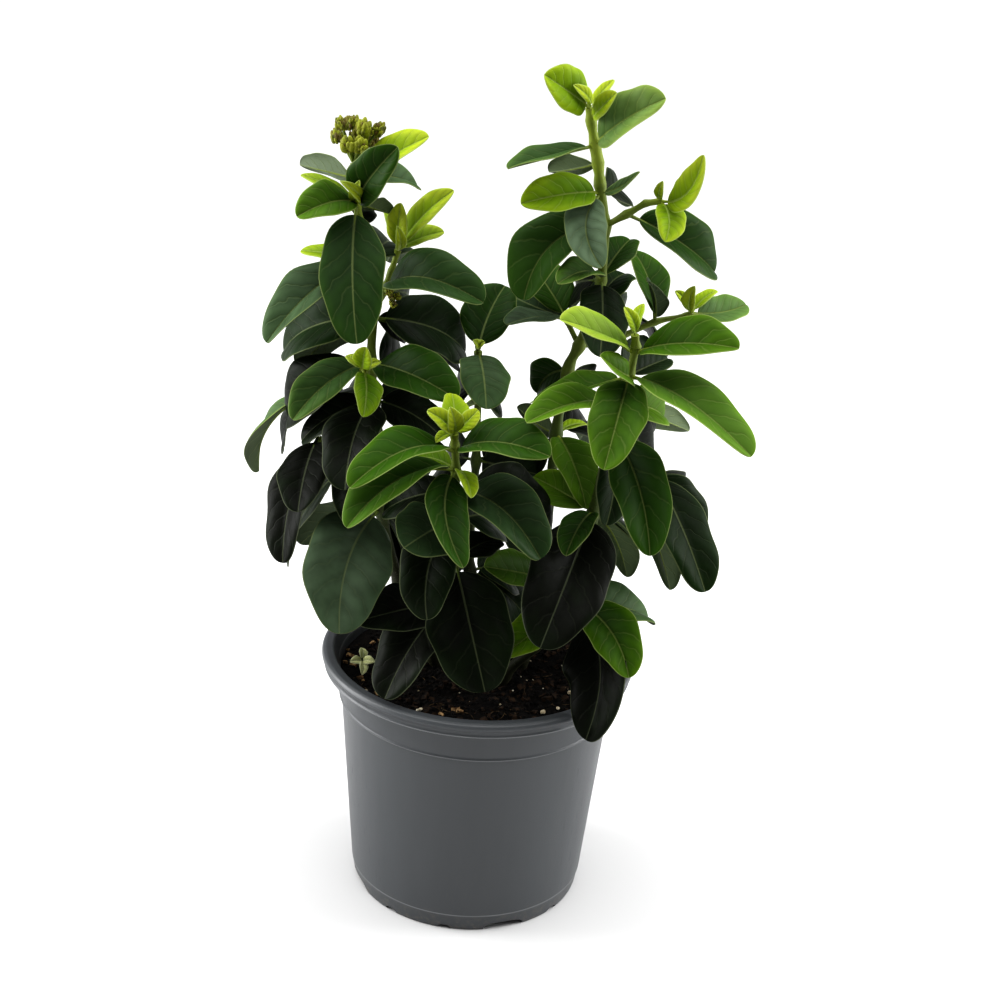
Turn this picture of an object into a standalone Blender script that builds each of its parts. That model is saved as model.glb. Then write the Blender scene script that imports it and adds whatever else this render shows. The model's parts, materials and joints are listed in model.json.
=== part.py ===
"""Potted laurustinus (Viburnum tinus): a young evergreen shrub in a 17 cm plastic nursery pot.

Metres, +Z up. The origin is the middle of the pot's base, on the surface that it stands on, and the
plant's best side faces -Y. Sizes are typed in millimetres, and MM turns them into metres.

Each stem and leaf has its place in one front view of the plant: a stem joint is a pixel of a
1000 x 1000 frame with a depth behind the pot's axis, and a leaf reaches from its joint to the pixel
of its tip over its real length.
"""
import math
import random
from dataclasses import dataclass

import bpy
from mathutils import Matrix, Vector
from mathutils.bvhtree import BVHTree

MM = 0.001
GAP = 0.3

# The front view, in mm, degrees and pixels
VIEW_TARGET_HEIGHT = 70.5
VIEW_DISTANCE = 1100.0
VIEW_ELEVATION = 23.17
VIEW_ROLL = 3.72
VIEW_FOCAL = 1966.0
VIEW_SHIFT = (-16.0, -144.5)
VIEW_CENTRE = 500.0

# The pot, in mm
POT_SIDES = 36
LIP_RADIUS = 85.0
POT_HEIGHT = 140.0
LIP_INNER_RADIUS = 78.2
LIP_UNDER_RADIUS = 79.0
LIP_UNDER_HEIGHT = 131.5
BAND_TOP_RADIUS = 76.6
BAND_FOOT_RADIUS = 74.6
STEP_RADIUS = 73.6
STEP_HEIGHT = 112.4
WALL_FOOT_RADIUS = 64.8
WALL_FOOT_HEIGHT = 10.0
FOOT_RADIUS = 62.4
WALL = 1.7
FLOOR_UNDER = 3.2
FLOOR_TOP = 5.2
FOOT_RING_WIDTH = 3.4
FOOT_FLARE = (0.9, 2.0)
WALL_FOOT_EASE = (0.5, 1.6)
INNER_FOOT_EASE = 0.6
STEP_SLOPE = 1.2
LIP_ROLL = ((-0.9, -4.4), (0.0, -2.6), (-0.7, -0.9), (-2.4, 0.0))
LIP_INNER_ROLL = ((0.8, 0.0), (0.0, -0.8))
BAND_TOP_DROP = 1.0
POT_SMOOTH_ANGLE = 32.0
ARCH_COUNT = 12
ARCH_FIRST_ANGLE = -68.0
SMALL_ARCH = (6.5, 2.6)
WIDE_ARCH = (21.0, 4.6)
WIDE_ARCH_EVERY = 3
ARCH_STEPS = 4
ARCH_SQUARENESS = 3
ARCH_SHOULDER_DROP = 0.85
CUT_OVER = 2.0
SMALL_HOLE_SIDES = 8
DRAIN_HOLES = 3
DRAIN_HOLE_RADIUS = 4.0
DRAIN_HOLE_CIRCLE = 44.0

# The soil, in mm
SOIL_HEIGHT = 127.0
SOIL_RELIEF = 1.3
MOUNDS_ACROSS = (0.11, 0.6)
MOUNDS_DEEP = (0.13, -0.4)
MOUNDS_SLANTED = (0.19, 0.6)
SOIL_SIDES = 24
SOIL_RINGS = (0.3, 0.6, 0.84)
STEM_FOOT = 101.0
STEM_OUT = 131.0
HOLE_CLEARANCE = 0.45
HOLE_ABOVE = 6.0

# Leaves, in mm unless said
NEAR = -1
FAR = 1
STALK_HALF_WIDTH = 1.0
STALK_THICK = 1.5
FULL_STALK_WIDTH = 12.0
STALK_LEAST = 0.4
BLADE_MIDDLE = 0.88
BLADE_BASE_TAPER = 0.62
LEAF_CLEARANCE = 0.42
LEAF_SET_BACK = 4.0
TIP_THICK = 0.8
MIDRIB_STEP = 0.02
WAVE_PACE = 9.0
WAVE_LAG = 1.3
TWIST_MOST = 0.16
TWIST_FROM = 0.3

# Stems, buds and how leaves find a clear place, in mm and degrees
THICK_STEM = 2.0
THICK_STEM_SIDES = 6
THIN_STEM_SIDES = 5
BUD_PROFILE = ((0.0, -1.0), (0.87, -0.5), (0.87, 0.5), (0.0, 1.0))
BUD_SIDES = 6
BUD_PAIR_TURN = 2.1
BUD_PAIR_SPREAD = 0.7
BUD_PAIR_SHRINK = 0.2
PLANT_SMOOTH_ANGLE = 50.0
SHIFT_STEP = 4.0
SHIFT_STEPS = 9
TURNS = (0.0, 14.0, -14.0, 28.0, -28.0, 42.0, -42.0)
TURN_COST = 1.6
OTHER_BODY_COST = 10


@dataclass(frozen=True)
class Age:
    """How the leaves of one age are made.

    stations are shares of the length from the stem's axis to the tip, and stalk is the share where
    the stalk ends and the blade starts. rise is the angle of the two halves above the midrib, wave
    is the edge's wave as a share of the half width, and a lower blunt gives a rounder tip.
    """

    thick: float
    stalk: float
    stations: tuple
    rise: float
    wave: float
    blunt: float


OLD = Age(0.8, 0.1, (0.0, 0.1, 0.34, 0.76, 1.0), 16.0, 0.10, 0.5)
FOLDED = Age(0.8, 0.1, (0.0, 0.1, 0.3, 0.58, 0.86, 1.0), 29.0, 0.08, 0.5)
GREEN = Age(0.7, 0.1, (0.0, 0.1, 0.36, 0.76, 1.0), 27.0, 0.08, 0.54)
BACK = Age(0.8, 0.1, (0.0, 0.1, 0.4, 0.8, 1.0), 12.0, 0.06, 0.5)
YOUNG = Age(0.65, 0.12, (0.0, 0.12, 0.4, 0.78, 1.0), 24.0, 0.05, 0.6)
TIP = Age(0.7, 0.12, (0.0, 0.5, 1.0), 22.0, 0.0, 0.75)


@dataclass(frozen=True)
class Stem:
    """One stem or twig: the body it belongs to, where it starts, and its joints in order.

    start is a joint's name, or the (x, y) in mm where the stem stands in the soil. A joint is
    (name, pixel, depth, radius). A stem that is a piece of its own stands off its start by the gap.
    """

    body: str
    start: object
    joints: tuple
    own_piece: bool = False


@dataclass(frozen=True)
class Leaf:
    """One leaf, from its joint on a stem to the pixel of its tip.

    length runs straight from joint to tip and width is across the blade, both in mm. facing is 1
    where the blade is square on to the view and 0 where it is edge on, and of the two ways to turn
    there the blade takes the one that faces the sky more, or less where facing is negative. lean is
    NEAR or FAR, as the tip comes forward or goes back. arch and sweep bend the midrib out of and in
    the blade's plane, as shares of the length, and under is true where the underside shows.
    """

    name: str
    joint: str
    tip: tuple
    length: float
    width: float
    facing: float
    lean: int
    age: Age = OLD
    arch: float = 0.14
    sweep: float = 0.0
    under: bool = False


@dataclass(frozen=True)
class BudHead:
    """A head of flower buds: short branches from one joint, each with small round buds at its end.

    depth_fan says how far each branch's tip lies behind the joint, bud and twig are radii, all in mm,
    and beside is true where the head stands on the side of its stem, not on its end.
    """

    body: str
    joint: str
    tips: tuple
    depth_fan: tuple
    bud: float
    twig: float
    beside: bool = False


STEMS = (
    Stem("leafy_stem_left", (-24.0, 3.0), (
        ("left_1", (400, 585), -10.0, 3.3),
        ("left_2", (381, 508), -12.0, 3.1),
        ("left_3", (378, 440), -10.0, 2.9),
        ("left_4", (374, 400), -8.0, 2.8),
        ("left_5", (371, 364), -6.0, 2.7),
        ("left_6", (372, 318), -3.0, 2.5),
        ("left_7", (366, 262), -8.0, 2.3),
        ("left_8", (360, 222), -12.0, 2.1))),
    Stem("leafy_stem_left", "left_6", (
        ("fork_1", (384, 290), 6.0, 1.9),
        ("fork_2", (392, 270), 10.0, 1.7))),
    Stem("leafy_stem_left", "left_5", (
        ("side_1", (366, 373), -20.0, 1.6),)),
    Stem("leafy_stem_left", "left_3", (
        ("back_twig_1", (344, 416), 6.0, 1.9),
        ("back_twig_2", (306, 394), 14.0, 1.6))),
    Stem("leafy_stem_left", "left_2", (
        ("low_twig_1", (346, 466), -4.0, 1.9),
        ("low_twig_2", (318, 438), -2.0, 1.6))),
    Stem("leafy_stem_back", (5.0, 16.0), (
        ("back_1", (470, 570), 22.0, 2.8),
        ("back_2", (476, 460), 24.0, 2.4),
        ("back_3", (478, 390), 16.0, 2.1),
        ("back_4", (478, 352), 10.0, 1.8))),
    Stem("leafy_stem_middle", (1.0, -9.0), (
        ("middle_1", (452, 600), -26.0, 2.9),
        ("middle_2", (455, 560), -36.0, 2.7),
        ("middle_3", (456, 520), -45.0, 2.5),
        ("middle_4", (456, 492), -52.0, 2.4),
        ("middle_5", (456, 470), -57.0, 2.2),
        ("middle_6", (455, 445), -60.0, 2.0))),
    Stem("leafy_stem_right", (24.0, 6.0), (
        ("right_1", (541, 578), 14.0, 3.3),
        ("right_2", (556, 434), 20.0, 3.0),
        ("right_3", (568, 370), 21.0, 2.8),
        ("right_4", (579, 346), 21.0, 2.7),
        ("right_5", (592, 312), 18.0, 2.6),
        ("right_6", (601, 280), 15.0, 2.5),
        ("right_7", (605, 226), 12.0, 2.6),
        ("right_8", (600, 185), 11.0, 2.6))),
    Stem("leafy_stem_right", "right_4", (
        ("left_twig", (566, 319), 30.0, 1.6),)),
    Stem("leafy_stem_right", "right_4", (
        ("far_twig_1", (617, 338), 34.0, 1.9),
        ("far_twig_2", (655, 322), 40.0, 1.7),
        ("far_twig_3", (686, 316), 40.0, 1.5))),
    Stem("leafy_stem_right", "right_7", (
        ("high_twig_1", (627, 214), 6.0, 1.9),
        ("high_twig_2", (646, 203), 2.0, 1.6))),
    Stem("leafy_stem_front_right", (15.0, -13.0), (
        ("front_1", (574, 610), -20.0, 3.2),
        ("front_2", (594, 512), -29.0, 3.0),
        ("front_3", (612, 430), -38.0, 2.8),
        ("front_4", (618, 405), -41.0, 2.6),
        ("front_5", (629, 376), -43.0, 2.4),
        ("front_6", (636, 346), -46.0, 2.1))),
    Stem("leafy_stem_front_right", "front_2", (
        ("low_right_1", (630, 486), -8.0, 2.0),
        ("low_right_2", (652, 470), 0.0, 1.7))),
    Stem("leafy_stem_front_right", "front_1", (
        ("sprout_foot", (577, 607), -30.0, 1.7),)),
    Stem("low_sprout", "sprout_foot", (
        ("sprout_1", (578, 603), -38.0, 1.5),), True),
    Stem("young_left", "left_8", (
        ("young_left_1", (357, 203), -12.0, 1.8),
        ("young_left_2", (355, 178), -11.0, 1.7),
        ("young_left_3", (354, 163), -10.0, 1.5)), True),
    Stem("young_left_fork", "fork_2", (
        ("young_fork_1", (398, 250), 12.0, 1.5),), True),
    Stem("young_left_side", "side_1", (
        ("young_side_1", (363, 370), -27.0, 1.4),), True),
    Stem("young_middle", "middle_6", (
        ("young_middle_1", (454, 434), -61.0, 1.7),), True),
    Stem("young_right", "right_8", (
        ("young_right_1", (598, 163), 10.0, 2.6),
        ("young_right_2", (595, 145), 10.0, 2.5),
        ("young_right_3", (591, 120), 10.0, 2.3),
        ("young_right_4", (590, 108), 10.0, 1.8)), True),
    Stem("young_right_side", "high_twig_2", (
        ("young_high_1", (661, 201), 0.0, 1.5),), True),
    Stem("young_right_back", "far_twig_3", (
        ("young_far_1", (692, 313), 40.0, 1.4),), True),
    Stem("young_front_right", "front_6", (
        ("young_front_1", (635, 335), -47.0, 1.6),), True),
    Stem("leafy_stem_back", "back_4", (
        ("young_back_1", (478, 347), 7.0, 1.3),)),
    Stem("seedling", (-62.5, -8.0), (
        ("seedling_1", (362, 661), -8.0, 0.8),)),
)

LEAVES = (
    # Upper left stem, from the tip down
    Leaf("a1", "young_left_2", (429, 137), 49, 23, 0.6, NEAR, YOUNG, 0.02),
    Leaf("a2", "young_left_1", (398, 147), 44, 24, 0.92, NEAR, GREEN, 0.1),
    Leaf("a3", "young_left_2", (300, 165), 38, 20, 0.55, FAR, GREEN, 0.0, 0.0, True),
    Leaf("a4", "young_left_1", (297, 217), 41, 24, 0.8, NEAR, GREEN, 0.14),
    Leaf("a_bud_1", "young_left_1", (340, 181), 19, 7, 0.8, NEAR, TIP),
    Leaf("a_bud_2", "young_left_1", (360, 180), 20, 7, 0.9, NEAR, TIP),
    Leaf("a5", "young_left_1", (357, 344), 74, 33, 1.0, NEAR, OLD, 0.07, 0.03),
    Leaf("a6", "young_left_2", (418, 189), 42, 21, 0.6, FAR, GREEN, 0.1),
    Leaf("a7", "young_left_1", (391, 214), 27, 15, 0.6, FAR, GREEN, 0.0, 0.0, True),
    Leaf("a8", "left_7", (301, 251), 42, 13, 0.7, FAR, YOUNG, 0.03),
    # Fork of the left stem
    Leaf("b0", "young_fork_1", (401, 203), 27, 13, 0.9, NEAR, YOUNG, 0.04),
    Leaf("b1", "young_fork_1", (381, 201), 31, 13, 0.7, FAR, YOUNG, 0.08),
    Leaf("b2", "young_fork_1", (454, 191), 49, 17, 0.72, NEAR, YOUNG, 0.03, -0.05),
    Leaf("b3", "young_fork_1", (444, 232), 31, 16, 0.6, NEAR, YOUNG, 0.06),
    Leaf("b4", "young_fork_1", (397, 226), 15, 7, 0.9, NEAR, TIP),
    Leaf("c8", "fork_1", (483, 303), 64, 34, 0.75, NEAR, FOLDED, 0.2),
    Leaf("c9", "left_6", (465, 352), 60, 38, 0.8, FAR, OLD, 0.16),
    Leaf("c10", "left_6", (459, 370), 62, 26, 0.5, FAR, OLD, 0.1),
    # Middle of the left stem
    Leaf("c1", "left_7", (267, 343), 74, 31, 0.66, NEAR, FOLDED, 0.14, -0.04),
    Leaf("c2", "left_6", (284, 351), 60, 36, 0.75, FAR, OLD, 0.16),
    Leaf("c3", "left_6", (300, 367), 60, 28, 0.5, FAR, OLD, 0.1, 0.0, True),
    Leaf("c4", "left_5", (289, 420), 66, 34, 0.8, FAR, OLD, 0.2),
    Leaf("c5", "left_5", (293, 420), 57, 27, 0.74, NEAR, GREEN, 0.13),
    Leaf("c6", "left_5", (457, 400), 58, 33, 0.8, NEAR, GREEN, 0.08),
    Leaf("c7", "left_4", (430, 408), 46, 26, 0.55, FAR, OLD, 0.12),
    Leaf("d1", "young_side_1", (366, 347), 17, 12, 0.9, NEAR, YOUNG, 0.05),
    Leaf("d2", "young_side_1", (363, 417), 29, 17, 0.9, NEAR, YOUNG, 0.12),
    Leaf("d3", "young_side_1", (346, 356), 14, 8, 0.8, NEAR, TIP),
    Leaf("d4", "young_side_1", (381, 362), 13, 7, 0.8, NEAR, TIP),
    Leaf("d5", "left_4", (345, 490), 60, 34, 0.85, NEAR, OLD, 0.12),
    # Low on the left stem
    Leaf("e1", "back_twig_2", (259, 471), 60, 24, 0.6, FAR, GREEN, 0.1, -0.03),
    Leaf("e2", "back_twig_2", (284, 450), 40, 20, 0.7, FAR, OLD, 0.05),
    Leaf("e3", "low_twig_2", (298, 512), 52, 28, 0.9, NEAR, OLD, 0.08),
    Leaf("e4", "low_twig_2", (283, 563), 76, 31, 0.7, NEAR, OLD, 0.1),
    Leaf("e5", "low_twig_1", (288, 565), 70, 26, 0.4, FAR, OLD, 0.1),
    Leaf("e6", "low_twig_1", (346, 524), 40, 28, 0.8, NEAR, OLD, 0.1),
    Leaf("e7", "left_2", (300, 544), 60, 30, 0.6, FAR, OLD, 0.1, 0.0, True),
    Leaf("f1", "left_2", (339, 634), 82, 46, 1.0, NEAR, OLD, 0.06, 0.09),
    Leaf("h5", "left_2", (393, 562), 44, 26, 0.7, FAR, OLD, 0.1),
    Leaf("h4", "middle_1", (356, 622), 62, 30, 0.85, NEAR, OLD, 0.02),
    # Twin leaves behind the middle
    Leaf("m1", "back_4", (505, 286), 43, 30, 0.95, FAR, OLD, 0.04, -0.04),
    Leaf("m2", "back_4", (486, 409), 42, 28, 0.95, NEAR, OLD, 0.08),
    Leaf("m_bud_1", "young_back_1", (473, 340), 8, 5, 0.8, NEAR, TIP),
    Leaf("m_bud_2", "young_back_1", (485, 342), 8, 5, 0.8, NEAR, TIP),
    # Front middle stem
    Leaf("g_bud_1", "young_middle_1", (452, 394), 24, 16, 0.9, FAR, YOUNG, 0.05),
    Leaf("g_bud_2", "young_middle_1", (427, 411), 22, 12, 0.8, NEAR, YOUNG, 0.1),
    Leaf("g_bud_3", "young_middle_1", (478, 410), 21, 10, 0.8, NEAR, YOUNG, 0.1),
    Leaf("g_bud_4", "young_middle_1", (450, 407), 16, 10, 0.9, NEAR, TIP),
    Leaf("g_bud_5", "young_middle_1", (436, 443), 14, 8, 0.6, NEAR, TIP),
    Leaf("g6", "young_middle_1", (488, 401), 27, 8, 0.6, FAR, YOUNG, 0.1),
    Leaf("g1", "middle_6", (350, 488), 67, 29, 0.64, NEAR, GREEN, 0.16),
    Leaf("g5", "middle_6", (550, 457), 58, 31, 0.68, NEAR, GREEN, 0.13),
    Leaf("g2", "middle_5", (347, 528), 72, 31, 0.6, NEAR, GREEN, 0.15),
    Leaf("g3", "middle_5", (412, 459), 27, 15, 0.6, NEAR, YOUNG, 0.12),
    Leaf("g4", "middle_5", (463, 568), 60, 24, 0.95, NEAR, GREEN, 0.06, 0.14),
    Leaf("g7", "middle_5", (471, 498), 19, 12, 0.7, NEAR, YOUNG, 0.1),
    Leaf("g8", "middle_4", (540, 559), 62, 38, 0.78, NEAR, FOLDED, 0.2),
    Leaf("g9", "middle_4", (549, 532), 64, 44, 0.75, FAR, OLD, 0.18),
    Leaf("h1", "middle_3", (427, 620), 60, 30, 0.98, NEAR, OLD, 0.06, 0.1),
    Leaf("h2", "middle_2", (485, 692), 70, 45, 1.0, NEAR, OLD, 0.06),
    Leaf("h2b", "middle_1", (498, 672), 62, 28, 0.8, FAR, OLD, 0.1),
    Leaf("h3", "middle_1", (385, 699), 70, 37, 0.8, NEAR, OLD, 0.1),
    # Top of the right stem
    Leaf("r1", "young_right_4", (544, 75), 38, 25, 0.86, NEAR, YOUNG, 0.02),
    Leaf("r2", "young_right_4", (573, 85), 16, 8, 0.7, NEAR, TIP),
    Leaf("r3", "young_right_4", (614, 80), 20, 8, 0.7, FAR, YOUNG, 0.02),
    Leaf("r4", "young_right_3", (617, 93), 23, 12, 0.8, NEAR, YOUNG, 0.02),
    Leaf("r5", "young_right_2", (666, 99), 54, 29, 0.74, NEAR, GREEN, 0.06),
    Leaf("r6", "young_right_2", (508, 169), 52, 22, 0.4, NEAR, GREEN, 0.0),
    Leaf("r7", "young_right_1", (549, 172), 31, 19, 0.6, FAR, GREEN, -0.03, 0.0, True),
    Leaf("r11", "right_8", (640, 172), 31, 8, 0.7, NEAR, YOUNG, 0.0, 0.1),
    Leaf("r8", "right_8", (521, 204), 47, 24, 0.88, NEAR, GREEN, 0.07),
    Leaf("r10", "right_8", (602, 268), 50, 24, 0.98, NEAR, GREEN, 0.05, 0.16),
    Leaf("r9", "right_7", (524, 300), 66, 36, 0.8, NEAR, FOLDED, 0.17, 0.11),
    Leaf("r16", "right_7", (547, 268), 40, 22, 0.5, FAR, GREEN, 0.12),
    Leaf("r12", "right_6", (630, 240), 36, 23, 0.9, FAR, GREEN, 0.06),
    Leaf("r13", "right_6", (558, 284), 34, 20, 0.55, NEAR, GREEN, 0.12),
    Leaf("r14", "right_6", (600, 357), 54, 28, 0.95, NEAR, OLD, 0.06),
    Leaf("r15", "left_twig", (532, 267), 40, 29, 0.9, FAR, GREEN, 0.06),
    Leaf("r17", "left_twig", (507, 294), 42, 28, 0.7, FAR, OLD, -0.02),
    Leaf("r18", "left_twig", (507, 325), 38, 24, 0.3, NEAR, OLD, 0.06),
    Leaf("r19", "right_5", (625, 274), 40, 26, 0.8, FAR, OLD, 0.1),
    # Side shoot high on the right
    Leaf("s1", "high_twig_1", (714, 272), 64, 34, 0.75, FAR, FOLDED, 0.1, 0.03),
    Leaf("s2", "young_high_1", (665, 242), 28, 18, 0.9, NEAR, YOUNG, 0.08, -0.08),
    Leaf("s3", "young_high_1", (704, 155), 39, 18, 0.8, NEAR, YOUNG, 0.0, 0.22),
    Leaf("s4", "young_high_1", (663, 181), 14, 6, 0.8, NEAR, TIP),
    # Right shoot at the back
    Leaf("t1", "far_twig_2", (632, 251), 46, 24, 0.75, FAR, GREEN, 0.11),
    Leaf("t2", "far_twig_2", (647, 281), 30, 15, 0.6, NEAR, GREEN, 0.1, 0.0, True),
    Leaf("u1", "young_far_1", (675, 291), 16, 8, 0.8, NEAR, TIP),
    Leaf("u2", "young_far_1", (695, 286), 17, 10, 0.8, NEAR, TIP),
    Leaf("u3", "young_far_1", (717, 291), 19, 10, 0.7, FAR, YOUNG, 0.1),
    Leaf("u4", "young_far_1", (746, 305), 38, 22, 0.8, FAR, GREEN, -0.03, 0.05),
    # Front right stem
    Leaf("v_bud_1", "young_front_1", (624, 307), 17, 8, 0.8, NEAR, TIP),
    Leaf("v_bud_2", "young_front_1", (643, 304), 19, 8, 0.8, FAR, YOUNG, 0.06),
    Leaf("v1", "front_6", (560, 320), 49, 25, 0.5, NEAR, GREEN, 0.04),
    Leaf("v2", "front_6", (739, 349), 60, 31, 0.68, NEAR, GREEN, 0.08),
    Leaf("v3", "front_5", (600, 356), 26, 18, 0.6, NEAR, GREEN, 0.06, -0.12),
    Leaf("v4", "front_5", (604, 470), 62, 31, 1.0, NEAR, GREEN, 0.08),
    Leaf("v5", "front_5", (533, 402), 58, 24, 0.5, FAR, GREEN, 0.02, -0.05),
    Leaf("v5b", "front_4", (527, 423), 58, 26, 0.6, NEAR, GREEN, 0.09),
    Leaf("v6", "right_3", (537, 393), 34, 23, 0.95, FAR, GREEN, 0.02, 0.1),
    Leaf("v7", "right_2", (517, 407), 32, 18, 0.7, FAR, GREEN, 0.0, 0.06, True),
    Leaf("v8", "front_5", (668, 359), 30, 20, 0.8, FAR, GREEN, 0.02),
    Leaf("v9", "front_4", (663, 418), 40, 25, 0.8, FAR, GREEN, 0.12),
    Leaf("w1", "front_5", (751, 457), 84, 32, 0.66, NEAR, GREEN, 0.1, 0.02),
    Leaf("w2", "front_4", (689, 431), 46, 18, 0.6, FAR, GREEN, 0.02, 0.0, True),
    Leaf("w3", "front_3", (650, 556), 73, 32, 0.98, NEAR, FOLDED, 0.06, -0.05),
    Leaf("w9", "front_3", (606, 525), 48, 24, 0.8, FAR, OLD, 0.1),
    Leaf("w4", "low_right_2", (698, 538), 50, 28, 0.9, FAR, OLD, 0.08),
    Leaf("w5", "low_right_2", (705, 592), 72, 31, 0.85, NEAR, OLD, 0.06),
    Leaf("w6", "low_right_1", (670, 590), 64, 27, 0.75, FAR, GREEN, 0.06, 0.0, True),
    Leaf("w7", "front_2", (627, 577), 50, 22, 0.7, FAR, OLD, 0.1, 0.0, True),
    Leaf("y1", "right_2", (586, 509), 60, 26, 0.9, NEAR, GREEN, 0.1),
    Leaf("y2", "front_2", (534, 477), 48, 26, 0.88, FAR, YOUNG, 0.02),
    Leaf("y3", "right_2", (588, 426), 22, 9, 0.6, FAR, YOUNG, 0.1),
    Leaf("x1", "front_2", (540, 648), 84, 44, 1.0, NEAR, OLD, 0.1),
    Leaf("x7", "front_2", (566, 556), 32, 20, 0.85, NEAR, GREEN, 0.1),
    Leaf("x6", "right_1", (484, 567), 40, 26, 0.85, NEAR, GREEN, 0.02),
    Leaf("x2", "sprout_1", (503, 655), 47, 25, 0.9, NEAR, GREEN, 0.02),
    Leaf("x3", "sprout_1", (629, 678), 52, 29, 0.98, NEAR, GREEN, 0.06, -0.1),
    Leaf("x4", "front_1", (648, 622), 54, 31, 0.7, FAR, GREEN, 0.14),
    Leaf("x5", "front_1", (586, 740), 82, 42, -0.82, NEAR, OLD, 0.08, -0.24),
    # Darker leaves in the gaps
    Leaf("n1", "left_4", (440, 436), 52, 30, 0.6, FAR, OLD, 0.12),
    Leaf("n2", "left_4", (302, 441), 50, 24, 0.7, FAR, OLD, 0.1),
    Leaf("n3", "middle_4", (384, 512), 46, 26, 0.7, FAR, OLD, 0.1),
    Leaf("n4", "front_4", (646, 474), 42, 24, 0.7, FAR, OLD, 0.06),
    Leaf("n5", "middle_2", (498, 540), 32, 22, 0.8, FAR, OLD, 0.1),
    Leaf("n6", "right_2", (530, 480), 34, 20, 0.8, FAR, OLD, 0.1),
    Leaf("n7", "left_6", (404, 336), 26, 16, 0.7, FAR, OLD, 0.1),
    Leaf("n8", "young_left_1", (301, 175), 34, 9, 0.7, FAR, YOUNG, 0.05),
    # The side away from the view
    Leaf("k1", "left_8", (330, 196), 50, 26, 0.8, FAR, BACK),
    Leaf("k2", "left_7", (388, 262), 60, 30, 0.7, FAR, BACK),
    Leaf("k3", "left_6", (352, 328), 64, 32, 0.7, FAR, BACK),
    Leaf("k4", "left_5", (394, 372), 66, 34, 0.7, FAR, BACK),
    Leaf("k5", "left_4", (352, 404), 66, 34, 0.7, FAR, BACK),
    Leaf("k6", "left_3", (396, 458), 68, 34, 0.7, FAR, BACK),
    Leaf("k7", "left_2", (362, 520), 68, 36, 0.7, FAR, BACK),
    Leaf("k8", "left_1", (414, 596), 60, 34, 0.7, FAR, BACK),
    Leaf("k9", "fork_1", (399, 302), 56, 28, 0.7, FAR, BACK),
    Leaf("k10", "back_twig_2", (314, 392), 56, 30, 0.7, FAR, BACK),
    Leaf("k11", "low_twig_2", (326, 478), 56, 30, 0.7, FAR, BACK),
    Leaf("k12", "back_3", (466, 396), 58, 30, 0.7, FAR, BACK),
    Leaf("k13", "back_3", (486, 398), 56, 28, 0.7, FAR, BACK),
    Leaf("k14", "back_2", (450, 470), 62, 34, 0.7, FAR, BACK),
    Leaf("k15", "back_2", (504, 468), 62, 34, 0.7, FAR, BACK),
    Leaf("k16", "back_1", (446, 578), 60, 34, 0.7, FAR, BACK),
    Leaf("k17", "back_1", (506, 582), 60, 34, 0.7, FAR, BACK),
    Leaf("k18", "middle_3", (482, 530), 62, 34, 0.8, FAR, BACK),
    Leaf("k19", "middle_3", (404, 548), 54, 36, 0.9, NEAR, BACK, 0.04),
    Leaf("k20", "right_1", (562, 590), 60, 34, 0.7, FAR, BACK),
    Leaf("k21", "right_2", (580, 440), 62, 34, 0.7, FAR, BACK),
    Leaf("k22", "right_3", (570, 392), 56, 28, 0.7, FAR, BACK),
    Leaf("k23", "right_5", (600, 322), 58, 30, 0.7, FAR, BACK),
    Leaf("k24", "right_6", (584, 292), 58, 30, 0.7, FAR, BACK),
    Leaf("k25", "right_7", (588, 232), 52, 28, 0.7, FAR, BACK),
    Leaf("k26", "right_8", (614, 196), 46, 24, 0.7, FAR, BACK),
    Leaf("k27", "far_twig_1", (628, 374), 58, 30, 0.7, FAR, BACK),
    Leaf("k28", "far_twig_2", (654, 326), 74, 36, 0.7, FAR, BACK, 0.08),
    Leaf("k29", "front_1", (604, 606), 60, 34, 0.7, FAR, BACK),
    Leaf("k30", "front_2", (612, 540), 60, 34, 0.8, FAR, BACK),
    Leaf("k31", "front_3", (636, 446), 60, 32, 0.7, FAR, BACK),
    Leaf("k32", "low_right_2", (662, 512), 52, 32, 0.7, FAR, BACK),
    Leaf("k33", "low_right_1", (648, 530), 60, 32, 0.8, FAR, BACK),
    Leaf("k34", "left_2", (404, 560), 58, 34, 0.85, FAR, BACK, 0.06),
    Leaf("k35", "back_2", (536, 474), 52, 34, 0.85, FAR, BACK, 0.06),
    Leaf("k36", "back_1", (522, 612), 50, 34, 0.85, FAR, BACK, 0.06),
    Leaf("k37", "left_3", (432, 462), 50, 32, 0.85, FAR, BACK, 0.06),
    Leaf("k38", "front_2", (628, 500), 40, 28, 0.85, FAR, BACK, 0.06),
    Leaf("k39", "right_1", (520, 520), 52, 34, 0.85, FAR, BACK, 0.06),
    # The weed seedling's four leaves
    Leaf("seed_1", "seedling_1", (362, 648), 8.5, 5.8, 0.9, FAR, TIP),
    Leaf("seed_2", "seedling_1", (375, 662), 8.5, 5.8, 0.9, NEAR, TIP),
    Leaf("seed_3", "seedling_1", (350, 662), 8.5, 5.8, 0.9, NEAR, TIP),
    Leaf("seed_4", "seedling_1", (362, 675), 8.5, 5.8, 0.9, NEAR, TIP),
)

BUD_HEADS = (
    BudHead("flower_buds_top", "young_left_3",
            ((342, 126), (338, 138), (353, 125), (377, 132), (370, 142), (348, 147), (363, 130),
             (360, 148)),
            (-3.0, 5.0, 4.0, -2.0, 5.0, -8.0, -5.0, -9.0), 3.0, 1.1),
    BudHead("flower_buds_fork", "fork_1",
            ((389, 293), (397, 297), (393, 304)),
            (-14.0, -13.0, -15.0), 1.7, 0.7, True),
)

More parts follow.
